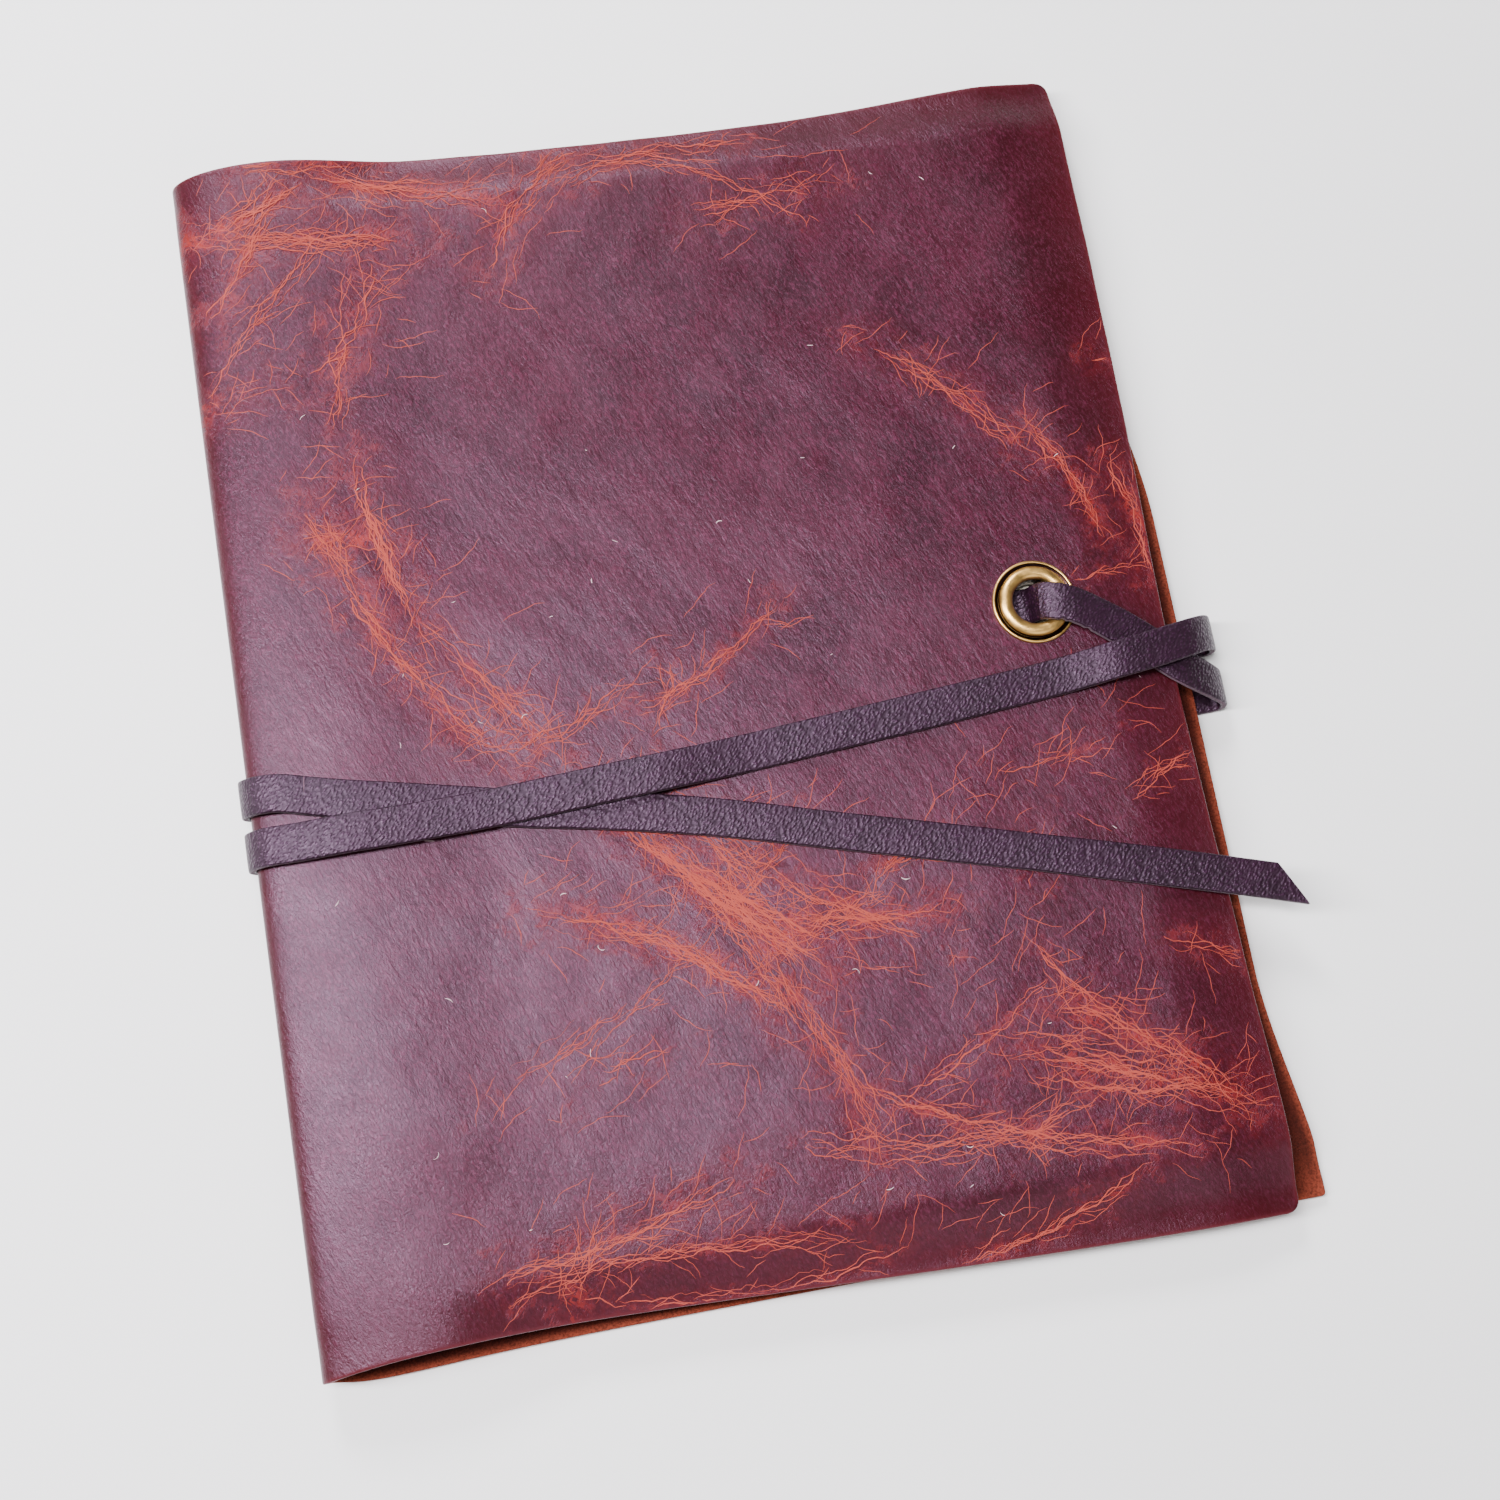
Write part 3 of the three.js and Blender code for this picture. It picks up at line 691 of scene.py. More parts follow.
def hump(x, place):
    """Nothing at the spine, 1 at the given distance from it, and dying away beyond."""
    return x / place * np.exp(1 - x / place)


def front_fore_edge(y):
    """Straight, but drawn in round the lace and flared towards the foot."""
    drawn_in = 2 * np.exp(-(((y + 20) / 60) ** 2))
    return front_width - drawn_in + smooth(-90, -140, y)


def front_head(x):
    """Humped over the roll of the spine, slack along the middle, pulled up at the fore edge."""
    return spine_head + 2 * hump(x, 25) - 1.2 * smooth(40, 110, x) + 4.5 * smooth(150, front_width, x)


def front_foot(x):
    """Drawn up behind the roll of the spine, then running out of square."""
    return spine_foot + 3.4 * hump(x, 45) - 2.6 * smooth(60, front_width, x)


def back_fore_edge(y):
    """Furthest out at its foot corner, and tucked under the front towards the head."""
    middle = back_width - 6
    return middle + 6 * smooth(-95, -half_height, y) - 8.5 * smooth(25, 100, y)


def back_head(x):
    return spine_head - 2.8 * smooth(20, 140, x)


def back_foot(x):
    return spine_foot - 1.6 * hump(x, 14)


def cover_edges(upper):
    if upper:
        return front_head, front_foot, front_fore_edge
    return back_head, back_foot, back_fore_edge


def rounded_corner(x, y, corner_x, corner_y, radius):
    """Moves points of a square corner onto a round one."""
    a = (x - corner_x) / radius + 1
    b = ((y - corner_y) if np.mean(y) > 0 else (corner_y - y)) / radius + 1
    inside = (a > 0) & (b > 0)
    share = np.where(inside, np.maximum(a, b) / np.maximum(np.hypot(a, b), 1e-6), 1)
    new_x = np.where(inside, corner_x + (a * share - 1) * radius, x)
    shift = (b * share - 1) * radius
    new_y = np.where(inside, corner_y + (shift if np.mean(y) > 0 else -shift), y)
    return new_x, new_y


def edge_drop(distance):
    """How far a cut edge is rounded off, by the distance from it."""
    t = np.clip(1 - distance / 0.5, 0, 1)
    return edge_round * (1 - np.sqrt(1 - t * t))


def sheet_piece(name, outer, inner, edge_finish):
    """A closed sheet of leather from two grids of points, its outer and inner faces."""
    across, along = outer.shape[:2]
    points = np.concatenate([outer.reshape(-1, 3), inner.reshape(-1, 3)])
    i, j = np.meshgrid(np.arange(across - 1), np.arange(along - 1), indexing="ij")
    first = (i * along + j).ravel()
    quads = np.stack([first, first + along, first + along + 1, first + 1], 1)
    half = across * along
    faces = [*quads, *(quads[:, ::-1] + half)]
    finish_of = [0] * len(quads) + [1] * len(quads)
    rim = (
        [i * along for i in range(across)] + [(across - 1) * along + j for j in range(1, along)]
        + [i * along + along - 1 for i in range(across - 2, -1, -1)] + list(range(along - 2, 0, -1))
    )
    for a, b in zip(rim, rim[1:] + rim[:1]):
        faces.append((a, a + half, b + half, b))
        finish_of.append(2)
    piece = new_piece(name, points, faces, [grain_finish, flesh_finish, edge_finish], finish_of)
    tidy_normals(piece)
    return piece


def roll_points(x, y, upper):
    """Outer points of the roll and the way they face, from the spine's outermost line inwards."""
    half = (spine_thickness - lift_at(y)) / 2
    reach, power, way = (roll_width, roll_power, 1) if upper else (spine_radius, 2, -1)
    inward = np.clip(1 - x / reach, 0, 1)
    climb = (1 - inward**power) ** (1 / power)
    facing = np.stack([-(inward ** (power - 1)) / reach, 0 * x, way * climb ** (power - 1) / half], 2)
    facing /= np.linalg.norm(facing, axis=2)[..., None]
    z = front_top(x, y) if upper else spine_thickness - half - half * climb
    return np.stack([x, y, z], 2), facing


def cover_grid(upper):
    """Places all over one cover: a quarter roll of spine, then the flat panel to its fore edge."""
    width, reach, power = (front_width, roll_width, roll_power) if upper else (back_width, spine_radius, 2)
    turns = np.concatenate([[0, 0.008, 0.03], np.linspace(0.07, 1, 26 if upper else 13)]) * math.pi / 2
    roll = reach * (1 - np.cos(turns) ** (2 / power))
    flats = stations(reach, width, cover_step)[3:]
    rows = stations(-half_height, half_height, cover_step)
    head, foot, fore = cover_edges(upper)
    nominal = np.concatenate([roll, flats])
    x = np.repeat(nominal[:, None], len(rows), 1)
    low, high = foot(nominal)[:, None], head(nominal)[:, None]
    from_low = rows[None, :] + half_height
    from_high = half_height - rows[None, :]
    stretch = (high - low) / (2 * half_height)
    y = np.where(rows[None, :] < 0, low + from_low * stretch, high - from_high * stretch)
    flat = x > reach
    edge = fore(y)
    from_edge = width - x
    spread = reach + (x - reach) / (width - reach) * (edge - reach)
    x = np.where(flat, np.where(from_edge < 3, edge - from_edge, spread), x)
    near_edge = np.minimum(np.minimum(y - low, high - y), np.where(flat, edge - x, 99))
    return x, y, len(turns), near_edge


def make_cover(name, upper):
    x, y, roll_rows, near_edge = cover_grid(upper)
    way = -1 if upper else 1
    outer_z = front_top(x, y) if upper else lift_at(y)
    outer = np.stack([x, y, outer_z], 2)
    facing = np.zeros_like(outer)
    facing[..., 2] = -way
    rolled = np.s_[:roll_rows]
    outer[rolled], facing[rolled] = roll_points(x[rolled], y[rolled], upper)
    inner = outer - facing * leather
    radius = 3.5 if upper else 1.2
    middle = y.shape[1] // 2
    for part, end in ((np.s_[:, :middle], 0), (np.s_[:, middle:], -1)):
        corner_x, corner_y = x[-1, end], y[-1, end]
        for grid in (outer, inner):
            gx, gy = rounded_corner(grid[part][..., 0], grid[part][..., 1], corner_x, corner_y, radius)
            grid[part][..., 0], grid[part][..., 1] = gx, gy
    drop = edge_drop(near_edge)[..., None]
    edge_finish = mauve_edge if upper else rust_edge
    return sheet_piece(name, outer - facing * drop, inner + facing * drop * 0.6, edge_finish)


# Where the hide has been folded and rubbed: how far across and up the cover as shares of it, the
# reach in millimetres, the way most creases lie in degrees, how many there are and how deep.
worn_places = [
    (0.15, 0.95, 70, 5, 5, 0.9),
    (0.55, 0.95, 75, 0, 4, 0.6),
    (0.15, 0.80, 75, 50, 5, 0.75),
    (0.20, 0.60, 60, -65, 5, 0.9),
    (0.40, 0.50, 55, 15, 3, 0.65),
    (0.90, 0.70, 60, -60, 6, 0.75),
    (0.90, 0.35, 45, 15, 3, 0.55),
    (0.50, 0.30, 75, -35, 9, 0.9),
    (0.80, 0.15, 80, -20, 11, 0.85),
    (0.30, 0.20, 60, 15, 2, 0.5),
    (0.40, 0.05, 80, 10, 6, 0.7),
]


def scatter_creases():
    """Creases round every worn place: start and end, bow to the left, depth up to 1, and spread."""
    draw = random.Random(29)
    made = []
    for across, up, reach, lie, count, depth in worn_places:
        centre = np.array([across * front_width, (2 * up - 1) * half_height])
        along = np.array([math.cos(math.radians(lie)), math.sin(math.radians(lie))])
        aside = np.array([-along[1], along[0]])
        for number in range(count):
            crossing = 65 if number % 3 == 2 else 0
            angle = math.radians(lie + crossing + draw.gauss(0, 14))
            length = reach * draw.uniform(0.5, 1.1) * (0.6 if crossing else 1)
            middle = centre + along * draw.gauss(0, 0.42 * reach) + aside * draw.gauss(0, 0.18 * reach)
            half = np.array([math.cos(angle), math.sin(angle)]) * length / 2
            bow = length * draw.uniform(-0.12, 0.12)
            own_depth = min(1.0, depth * draw.uniform(0.7, 1.15))
            made.append((*(middle - half), *(middle + half), bow, own_depth, draw.uniform(2.5, 5)))
    return made


creases = scatter_creases()


def crease_lines():
    """Each crease as a bowed line of close points, put in whichever of three sets is emptiest near it."""
    lines, groups = [], []
    for x0, y0, x1, y1, bow, _, _ in creases:
        ends = np.array([[x0, y0], [x1, y1]], float)
        run = ends[1] - ends[0]
        left = np.array([-run[1], run[0]]) / np.hypot(*run)
        middle = ends.mean(0) + left * bow * 2
        t = np.linspace(0, 1, 17)[:, None]
        line = (1 - t) ** 2 * ends[0] + 2 * t * (1 - t) * middle + t**2 * ends[1]
        room = [99.0, 99.0, 99.0]
        for other, group in zip(lines, groups):
            gap = np.hypot(*(line[:, None] - other[None]).transpose(2, 0, 1)).min()
            room[group] = min(room[group], gap)
        lines.append(line)
        groups.append(int(np.argmax(room)))
    return lines, groups


def crease_fields(x, y):
    """For each point of the cover: how far along and to the side of the nearest crease in each of three
    sets it lies, how strong that crease is there, and how worn the leather is round there."""
    far = 20.0
    run_along = np.zeros((len(x), 3))
    side = np.full((len(x), 3), far)
    weight = np.zeros((len(x), 3))
    wear = np.zeros(len(x))
    nearest = np.full((len(x), 3), far)
    lines, groups = crease_lines()
    for number, (line, group, (*_, depth, spread)) in enumerate(zip(lines, groups, creases)):
        low, high = line.min(0) - 40, line.max(0) + 40
        near = (x > low[0]) & (x < high[0]) & (y > low[1]) & (y < high[1])
        p = np.stack([x[near], y[near]], 1)
        a, b = line[:-1], line[1:]
        d = b - a
        along = np.clip(np.einsum("nsk,sk->ns", p[:, None] - a, d) / (d * d).sum(1), 0, 1)
        offset = p[:, None] - (a + along[..., None] * d)
        distance = np.hypot(offset[..., 0], offset[..., 1])
        best = distance.argmin(1)
        rows = np.arange(len(p))
        away = distance[rows, best]
        share = (best + along[rows, best]) / len(a)
        cross = d[best, 0] * offset[rows, best, 1] - d[best, 1] * offset[rows, best, 0]
        fade = smooth(-0.02, 0.2, share) * smooth(-0.02, 0.2, 1 - share)
        pull = depth * np.exp(-((away / spread) ** 2))
        index = np.flatnonzero(near)
        closer = away < nearest[index, group]
        kept = index[closer]
        nearest[kept, group] = away[closer]
        side[kept, group] = (away * np.where(cross < 0, -1, 1))[closer]
        run_along[kept, group] = (share * np.hypot(*d.T).sum() + 53 * number)[closer]
        weight[kept, group] = (pull * (0.3 + 0.7 * fade))[closer]
        wear[index] = np.maximum(wear[index], depth * np.exp(-((away / (spread * 2.8)) ** 2)))
    return run_along, side, weight, wear


def mark_leather(piece, own_creases):
    """Writes what the grain's material reads: the creases, the wear, the edges and painted shade towards
    them. The creases also sink a little into the outer face."""
    mesh = piece.data
    count = len(mesh.vertices)
    place = np.zeros(count * 3)
    mesh.vertices.foreach_get("co", place)
    place = (place.reshape(-1, 3) - corner) / MM
    x, y, z = place.T
    flat_x, flat_y = (x, y) if own_creases else (236 - x, y * 0.97 + 3 * np.sin(x / 40))
    run_along, side, weight, wear = crease_fields(flat_x, flat_y)
    head, foot, fore = cover_edges(own_creases)
    from_edge = np.minimum(np.minimum(head(x) - y, y - foot(x)), fore(y) - x)
    from_edge = np.maximum(from_edge, 0)
    bare_rim = 0.9 * np.exp(-((from_edge / 1.5) ** 2))
    bare_corner = np.exp(-np.hypot(x - back_width, y + half_height) / 6)
    values = {
        "crease_run": run_along, "crease_side": side, "crease_weight": weight, "wear": wear,
        "exposed": np.maximum(bare_rim, bare_corner),
        "rub": np.exp(-from_edge / 0.8),
        # the next value is painted shade: darker towards the edges and down the spine's side
        "edge_painted_shade": np.maximum(np.exp(-from_edge / 13), 1 - smooth(0.5, 6, x)),
    }
    for name, data in values.items():
        kind = "FLOAT_VECTOR" if data.ndim == 2 else "FLOAT"
        made = mesh.attributes.new(name, kind, "POINT")
        made.data.foreach_set("vector" if data.ndim == 2 else "value", data.astype(np.float32).ravel())
    outer = (z > front_top(x, y) - 0.5) & (x > roll_width / 2) & own_creases
    sink = crease_sink * weight.max(1) * smooth(0, 4, from_edge) * outer
    place[:, 2] -= sink
    mesh.vertices.foreach_set("co", to_frame(place).ravel())
    mesh.update()


cover_front = make_cover("front_leather", True)
bored(cover_front, [(eyelet_x, eyelet_y, 6.7, 5, 25)])
mark_leather(cover_front, True)
smooth_shaded(cover_front, 55)
cover_back = make_cover("back_leather", False)
post_places = [np.mean(box_of(f"binding_post_{place}"), axis=0) for place in ("foot", "middle", "head")]
for px, py, _ in post_places:
    bored(cover_back, [(px, py, 2.8, -1, 9), (px, py, 5.3, -1, back_lift + 0.1 + 0.9 + 0.1)])
mark_leather(cover_back, False)
smooth_shaded(cover_back, 55)

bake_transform(cover_back)
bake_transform(cover_front)
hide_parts("back_panel", "spine_panel")
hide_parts("front_panel")


# ---- Crease threads and loose fibres: hair-thin strands that follow the cover's outer face ----
def strand_tree():
    """Geometry nodes that turn bare paths into flat strands; each point's own thickness is stored on it."""
    tree = bpy.data.node_groups.new("strands", "GeometryNodeTree")
    face = tree.interface
    face.new_socket("Geometry", in_out="INPUT", socket_type="NodeSocketGeometry")
    for name, kind in (("Flatness", "NodeSocketFloat"), ("Finish", "NodeSocketMaterial")):
        face.new_socket(name, in_out="INPUT", socket_type=kind)
    face.new_socket("Geometry", in_out="OUTPUT", socket_type="NodeSocketGeometry")

    def node(kind, **settings):
        made = tree.nodes.new(kind)
        for name, value in settings.items():
            setattr(made, name, value)
        return made

    start, end = node("NodeGroupInput"), node("NodeGroupOutput")
    thickness = node("GeometryNodeInputNamedAttribute", data_type="FLOAT")
    thickness.inputs["Name"].default_value = "thickness"
    curve = node("GeometryNodeMeshToCurve")
    radius = node("GeometryNodeSetCurveRadius")
    upright = node("GeometryNodeSetCurveNormal", mode="Z_UP")
    ring = node("GeometryNodeCurvePrimitiveCircle")
    ring.inputs["Resolution"].default_value = 4
    ring.inputs["Radius"].default_value = 1
    across = node("ShaderNodeCombineXYZ")
    across.inputs["X"].default_value = 1
    across.inputs["Z"].default_value = 1
    squashed = node("GeometryNodeTransform")
    strand = node("GeometryNodeCurveToMesh")
    strand.inputs["Fill Caps"].default_value = True
    realized = node("GeometryNodeRealizeInstances")
    finish = node("GeometryNodeSetMaterial")
    for a, b in (
        (start.outputs["Geometry"], curve.inputs["Mesh"]),
        (curve.outputs["Curve"], radius.inputs["Curve"]),
        (thickness.outputs["Attribute"], radius.inputs["Radius"]),
        (radius.outputs["Curve"], upright.inputs["Curve"]),
        (upright.outputs["Curve"], strand.inputs["Curve"]),
        (start.outputs["Flatness"], across.inputs["Y"]),
        (ring.outputs["Curve"], squashed.inputs["Geometry"]),
        (across.outputs["Vector"], squashed.inputs["Scale"]),
        (squashed.outputs["Geometry"], strand.inputs["Profile Curve"]),
        (strand.outputs["Mesh"], realized.inputs["Geometry"]),
        (realized.outputs["Geometry"], finish.inputs["Geometry"]),
        (start.outputs["Finish"], finish.inputs["Material"]),
        (finish.outputs["Geometry"], end.inputs["Geometry"]),
    ):
        tree.links.new(a, b)
    if "Scale" in strand.inputs:
        tree.links.new(thickness.outputs["Attribute"], strand.inputs["Scale"])
    return tree


def make_strands(name, strands, flatness, finish):
    """One mesh of strands, each a list of points in millimetres with a half-width and a heat."""
    points, edges, widths, heats = [], [], [], []
    for path, width, heat in strands:
        edges += [(len(points) + k, len(points) + k + 1) for k in range(len(path) - 1)]
        points += list(path)
        widths += list(width)
        heats += [heat] * len(path)
    mesh = bpy.data.meshes.new(name)
    mesh.from_pydata(to_frame(points).tolist(), edges, [])
    for label, values in (("thickness", np.array(widths) * MM), ("heat", np.array(heats))):
        made = mesh.attributes.new(label, "FLOAT", "POINT")
        made.data.foreach_set("value", values.astype(np.float32))
    piece = bpy.data.objects.new(name, mesh)
    bpy.context.scene.collection.objects.link(piece)
    grow = piece.modifiers.new("strands", "NODES")
    grow.node_group = strand_nodes
    inputs = [item for item in strand_nodes.interface.items_tree if item.in_out == "INPUT"]
    sockets = {item.name: item.identifier for item in inputs}
    grow[sockets["Flatness"]] = flatness
    grow[sockets["Finish"]] = finish
    baked(piece)
    smooth_shaded(piece, 80)
    return piece


def laid_strand(draw, x, y, thickest, proud):
    """A strand through the given places, laid on the cover: cut where it runs off it, tapered at its ends."""
    head, foot, fore = cover_edges(True)
    inside = (y < head(x) - 0.4) & (y > foot(x) + 0.4) & (x < fore(y) - 0.4) & (x > 0.8)
    inside &= np.hypot(x - eyelet_x, y - eyelet_y) > eyelet_radius + 0.5
    if not inside.all():
        stop = int(np.argmin(inside))
        x, y = x[:stop], y[:stop]
    if len(x) < 4:
        return None
    t = np.linspace(0, 1, len(x))
    width = thickest * (0.25 + 0.75 * np.sin(math.pi * t) ** 0.6)
    width = width * np.array([draw.uniform(0.7, 1.25) for _ in t])
    return np.stack([x, y, front_top(x, y) + proud], 1), width


def wander(draw, length, reach):
    """A smooth wobble along a strand: long bends with short ones on them."""
    at = np.arange(0, length, strand_step)
    total = np.zeros(len(at))
    for pitch, share in ((14, 1.0), (6, 0.5), (2.6, 0.22)):
        total += share * np.sin(math.tau * at / (pitch * draw.uniform(0.7, 1.4)) + draw.uniform(0, math.tau))
    return at, total * reach


def crease_strands():
    """The threads of every crease, the branches that leave them, and the hairs of the worn patches."""
    draw = random.Random(71)
    made = []
    lines, _ = crease_lines()
    for line, (*_, depth, spread) in zip(lines, creases):
        length = np.hypot(*np.diff(line, axis=0).T).sum()
        for _ in range(round(3 + length * spread * depth / strand_room)):
            own = length * draw.uniform(0.16, 0.6)
            begin = draw.uniform(-0.06, 1.04 - own / length) * length
            at, wobble = wander(draw, own, 0.6)
            share = np.clip((begin + at) / length, 0, 1)
            index = share * (len(line) - 1)
            x = np.interp(index, range(len(line)), line[:, 0])
            y = np.interp(index, range(len(line)), line[:, 1])
            ahead = np.gradient(np.stack([x, y], 1), axis=0) + 1e-9
            ahead /= np.hypot(*ahead.T)[:, None]
            aside = draw.gauss(0, spread * 0.5)
            turn = draw.uniform(-1.2, 2.0)
            offset = aside * (1 + (turn - 1) * at / own) + wobble
            x, y = x - ahead[:, 1] * offset, y + ahead[:, 0] * offset
            near = math.exp(-((aside / spread) ** 2))
            thickest = draw.uniform(0.06, 0.17) * (0.55 + 0.75 * depth * near)
            heat = min(1, depth * near * draw.uniform(0.2, 1.5))
            strand = laid_strand(draw, x, y, thickest, strand_proud)
            if strand:
                made.append((*strand, heat))
            if draw.random() < branch_share and len(x) > 6:
                k = draw.randrange(2, len(x) - 3)
                angle = math.atan2(ahead[k, 1], ahead[k, 0]) + draw.choice((-1, 1)) * draw.uniform(0.35, 0.95)
                made += stray(draw, x[k], y[k], angle, draw.uniform(3, 11), 0.10, heat * 0.7)
    wear_at = np.array([(draw.uniform(0, 240), draw.uniform(-154, 153)) for _ in range(hair_tries)])
    worn = crease_fields(*wear_at.T)[3]
    for (x, y), wear in zip(wear_at, worn):
        if wear < draw.uniform(0.12, 1.1):
            continue
        angle = math.radians(draw.gauss(48, 24) if draw.random() < 0.7 else draw.gauss(-25, 20))
        made += stray(draw, x, y, angle, draw.uniform(4, 15), 0.085, wear * draw.uniform(0, 0.6))
    return made


def stray(draw, x, y, angle, length, thickest, heat):
    """A single hair that sets off at an angle and curls as it goes."""
    at, wobble = wander(draw, length, 0.35)
    bend = draw.uniform(-0.9, 0.9) / length
    heading = angle + bend * at
    xs = x + np.cumsum(np.cos(heading)) * strand_step - np.sin(angle) * (wobble - wobble[0])
    ys = y + np.cumsum(np.sin(heading)) * strand_step + np.cos(angle) * (wobble - wobble[0])
    strand = laid_strand(draw, xs, ys, thickest, strand_proud)
    return [(*strand, heat)] if strand else []


def dust_strands():
    """Pale specks of lint lying about on the cover."""
    draw = random.Random(19)
    made = []
    while len(made) < 46:
        x, y = draw.uniform(12, 230), draw.uniform(-146, 146)
        length = draw.uniform(0.6, 3.2)
        at = np.linspace(0, length, 7)
        heading = draw.uniform(0, math.tau) + draw.uniform(-0.8, 0.8) * at
        xs, ys = x + np.cumsum(np.cos(heading)) * length / 7, y + np.cumsum(np.sin(heading)) * length / 7
        strand = laid_strand(draw, xs, ys, draw.uniform(0.06, 0.12), 0.16)
        if strand:
            made.append((*strand, draw.random()))
    return made


def strand_finish(name, cool, hot, roughness):
    f = Finish(name, Specular_IOR_Level=0.16)
    heat = f.attribute("heat").outputs["Fac"]
    tone = f.blend(heat, cool, hot)
    tone = f.blend(f.between(f.noise(1.6, 3, 0.6), 0.35, 0.7, 0.0, 0.55), tone, cool)
    f.set("Base Color", tone)
    f.set("Normal", f.relief(f.noise(0.5, 2), 0.04).outputs[0])
    f.set("Roughness", f.between(f.noise(5, 3), 0.3, 0.7, roughness, roughness + 0.15))
    return f.material


strand_step = 1.25
strand_proud = 0.01
strand_room = 15        # millimetres squared of a crease for each of its threads
branch_share = 0.85
hair_tries = 3400
strand_nodes = strand_tree()
thread_finish = strand_finish("crease_thread", colour(146, 60, 50), colour(232, 108, 26), 0.6)
lint_finish = strand_finish("pale_lint", colour(214, 188, 190), colour(236, 226, 222), 0.7)
threads = make_strands("crease_threads", crease_strands(), 0.35, thread_finish)
lint = make_strands("surface_lint", dust_strands(), 1.0, lint_finish)
for piece in (threads, lint):
    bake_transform(piece)


# ---- Eyelet and washer ----
def make_eyelet():
    lip = box_of("eyelet")[0][2]
    bore, wall, roll, roll_flatness = 5.8, 0.6, 1.85, 0.9
    seat = plateau + 0.15
    flange = 0.5
    profile = [(bore, lip), (bore + wall + 1.6, lip), (bore + wall + 1.9, lip + 0.15),
               (bore + wall + 1.6, lip + 0.3), (bore + wall, lip + 0.3), (bore + wall, seat),
               (eyelet_radius, seat)]
    for turn in range(0, 181, 20):       # the flange's own small rolled rim
        angle = math.radians(turn)
        profile.append((eyelet_radius - 0.4 + 0.4 * math.cos(angle), seat + 0.4 + 0.4 * math.sin(angle)))
    profile += [(eyelet_radius - 0.9, seat + 0.3), (bore + 2 * roll + 0.25, seat + 0.26)]
    for turn in range(-20, 181, 10):
        angle = math.radians(turn)
        rise = roll * roll_flatness * math.sin(angle)
        profile.append((bore + roll + roll * math.cos(angle), seat + flange + rise))
    # the bore and the flat band between the roll and the flange's rim are painted dark: painted shade in the
    # hole and a painted reflection on the band
    groove = (bore + 2 * roll - 0.12, eyelet_radius - 0.7)
    piece = turned("eyelet_collar", profile, eyelet_x, eyelet_y, 160, [brass_finish],
                   [(0, bore + 0.1), groove])
    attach(piece, "front_cover")
    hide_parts("eyelet")


def make_washer():
    low, high = box_of("eyelet_washer")
    outside = (high[0] - low[0]) / 2
    inside = 6.55
    profile = [(inside, low[2]), (outside - 0.15, low[2]), (outside, low[2] + 0.15),
               (outside, high[2] - 0.15), (outside - 0.15, high[2]), (inside, high[2])]
    piece = turned("eyelet_back_ring", profile, eyelet_x, eyelet_y, 128, [dark_brass])
    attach(piece, "front_cover")
    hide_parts("eyelet_washer")


make_eyelet()
make_washer()


# ---- Page block ----
page_corner = 3.0


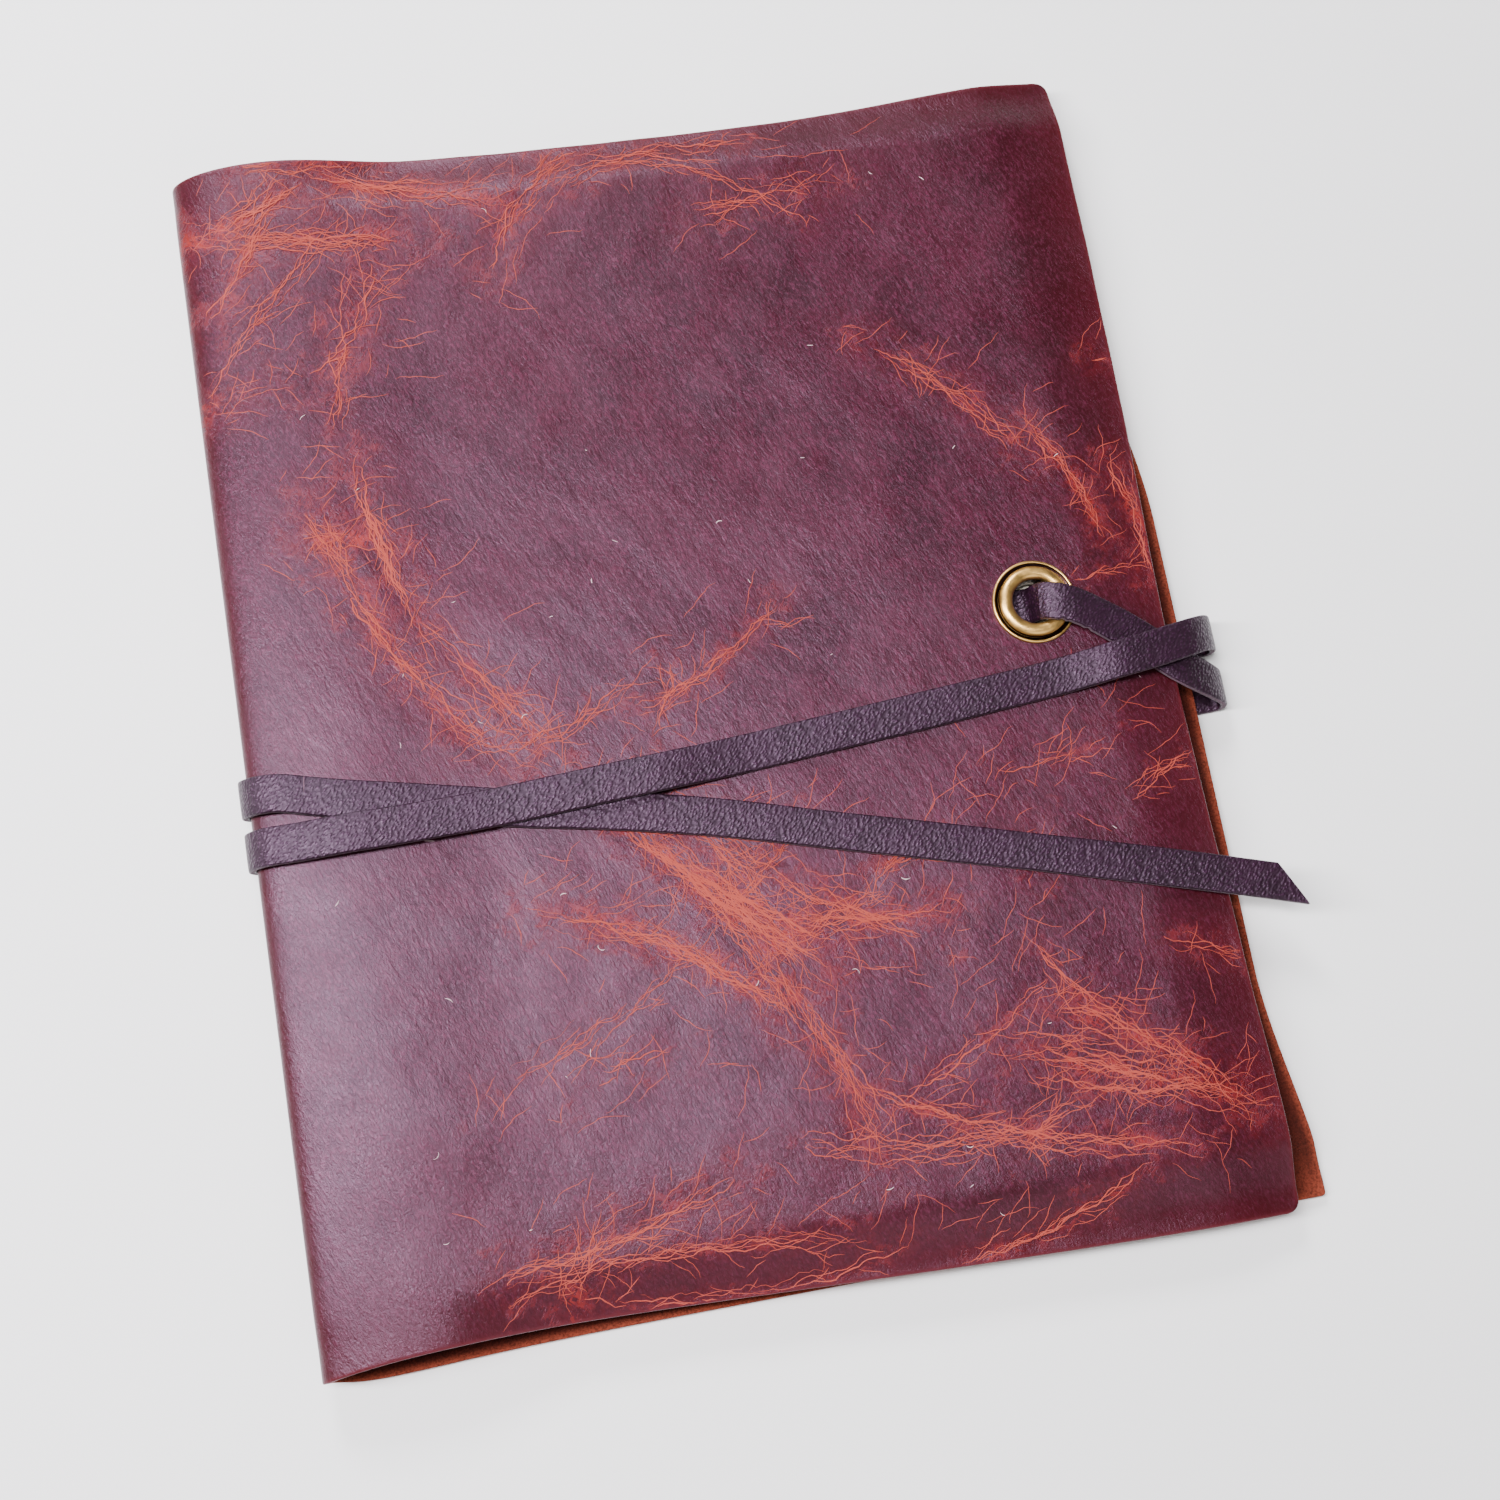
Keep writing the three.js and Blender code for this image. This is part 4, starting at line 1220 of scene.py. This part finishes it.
def make_page(number):
    """One sheet: its margin in the binding, its crease, and the leaf that slopes off to the fore edge."""
    node = f"leaf_{number:02d}"
    margin_low, margin_high = box_of(node + "_margin")
    low, high = box_of(node)
    thickness = margin_high[2] - margin_low[2]
    draw = random.Random(400 + number)
    left, right, crease_x = margin_low[0], high[0], low[0]
    xs = np.concatenate([np.linspace(left, crease_x - 4, 6), np.linspace(crease_x - 3, crease_x + 4, 8),
                         np.linspace(crease_x + 8, right - 3, 14), [right - 1.5, right - 0.6, right]])
    ys = np.concatenate([[-leaf_half_height, -leaf_half_height + 0.6, -leaf_half_height + 1.5],
                         np.linspace(-leaf_half_height + 3, leaf_half_height - 3, 16),
                         [leaf_half_height - 1.5, leaf_half_height - 0.6, leaf_half_height]])
    x, y = np.meshgrid(xs, ys, indexing="ij")
    share = np.clip((x - crease_x) / (right - crease_x), 0, 1)
    falls = low[2] < margin_low[2] - 0.01
    fore_edge_z = low[2] if falls else high[2] - thickness
    z = margin_low[2] + (fore_edge_z - margin_low[2]) * share
    uneven = draw.uniform(-0.25, 0.25)
    for side in (1, -1):
        half = y * side > 0
        gx, gy = rounded_corner(x[half], y[half], right, side * leaf_half_height, page_corner)
        x[half], y[half] = gx, gy
    x = x + uneven * share
    top = np.stack([x, y, z + thickness], 2)
    bottom = np.stack([x, y, z], 2)
    points = np.concatenate([top.reshape(-1, 3), bottom.reshape(-1, 3)])
    across, along = x.shape
    i, j = np.meshgrid(np.arange(across - 1), np.arange(along - 1), indexing="ij")
    first = (i * along + j).ravel()
    quads = np.stack([first, first + along, first + along + 1, first + 1], 1)
    half_count = across * along
    faces = [*quads, *(quads[:, ::-1] + half_count)]
    rim = (
        [k * along for k in range(across)] + [(across - 1) * along + k for k in range(1, along)]
        + [k * along + along - 1 for k in range(across - 2, -1, -1)] + list(range(along - 2, 0, -1))
    )
    faces += [(a, a + half_count, b + half_count, b) for a, b in zip(rim, rim[1:] + rim[:1])]
    piece = new_piece(f"page_{number:02d}", points, faces, [card_finish])
    tidy_normals(piece)
    bored(piece, [(px, py, 2.8, 0, 20) for px, py, _ in post_places])
    smooth_shaded(piece, 40)
    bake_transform(piece)
    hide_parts(node, node + "_margin")


for number in range(1, 11):
    make_page(number)

for name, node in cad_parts.items():
    if name.startswith("spacer"):
        finish = board_finish
    elif name.startswith("binding_strip"):
        finish = strap_finish
    elif name.startswith("binding_"):
        finish = brass_finish
    else:
        continue
    node.data.materials.clear()
    node.data.materials.append(finish)


# ---- Table top and light ----
def make_floor():
    f = Finish("pale_table", Roughness=0.7, Specular_IOR_Level=0.2)
    f.set("Base Color", f.blend(f.noise(120, 2), colour(238, 238, 238), colour(244, 244, 243)))
    mesh = bpy.data.meshes.new("table_top")
    size = 3.0
    corners = [(-size, -size, 0), (size, -size, 0), (size, size, 0), (-size, size, 0)]
    mesh.from_pydata(corners, [], [(0, 1, 2, 3)])
    mesh.materials.append(f.material)
    floor = bpy.data.objects.new("table_top", mesh)
    bpy.context.scene.collection.objects.link(floor)


def make_lamp(name, place, target, width, length, watts, tint):
    data = bpy.data.lights.new(name, "AREA")
    data.shape = "RECTANGLE"
    data.size, data.size_y = width, length
    data.energy = watts
    data.color = tint
    lamp = bpy.data.objects.new(name, data)
    lamp.location = place
    lamp.rotation_euler = (Vector(target) - Vector(place)).to_track_quat("-Z", "Y").to_euler()
    bpy.context.scene.collection.objects.link(lamp)


def make_light():
    world = bpy.data.worlds.new("studio")
    world.use_nodes = True
    world.node_tree.nodes["Background"].inputs["Color"].default_value = (1, 1, 1, 1)
    world.node_tree.nodes["Background"].inputs["Strength"].default_value = 0.22
    bpy.context.scene.world = world
    make_lamp("window", (-0.5, 0.04, 0.88), (-0.12, 0.0, 0), 0.14, 1.1, 32, (0.98, 0.96, 1.0))
    make_lamp("key", (-0.2, 0.9, 0.75), (0, 0, 0), 0.3, 0.3, 15, (0.98, 0.97, 1.0))
    make_lamp("fill", (0.25, -0.95, 0.8), (0, 0, 0), 0.9, 0.6, 4, (1.0, 0.97, 0.95))


make_floor()
make_light()
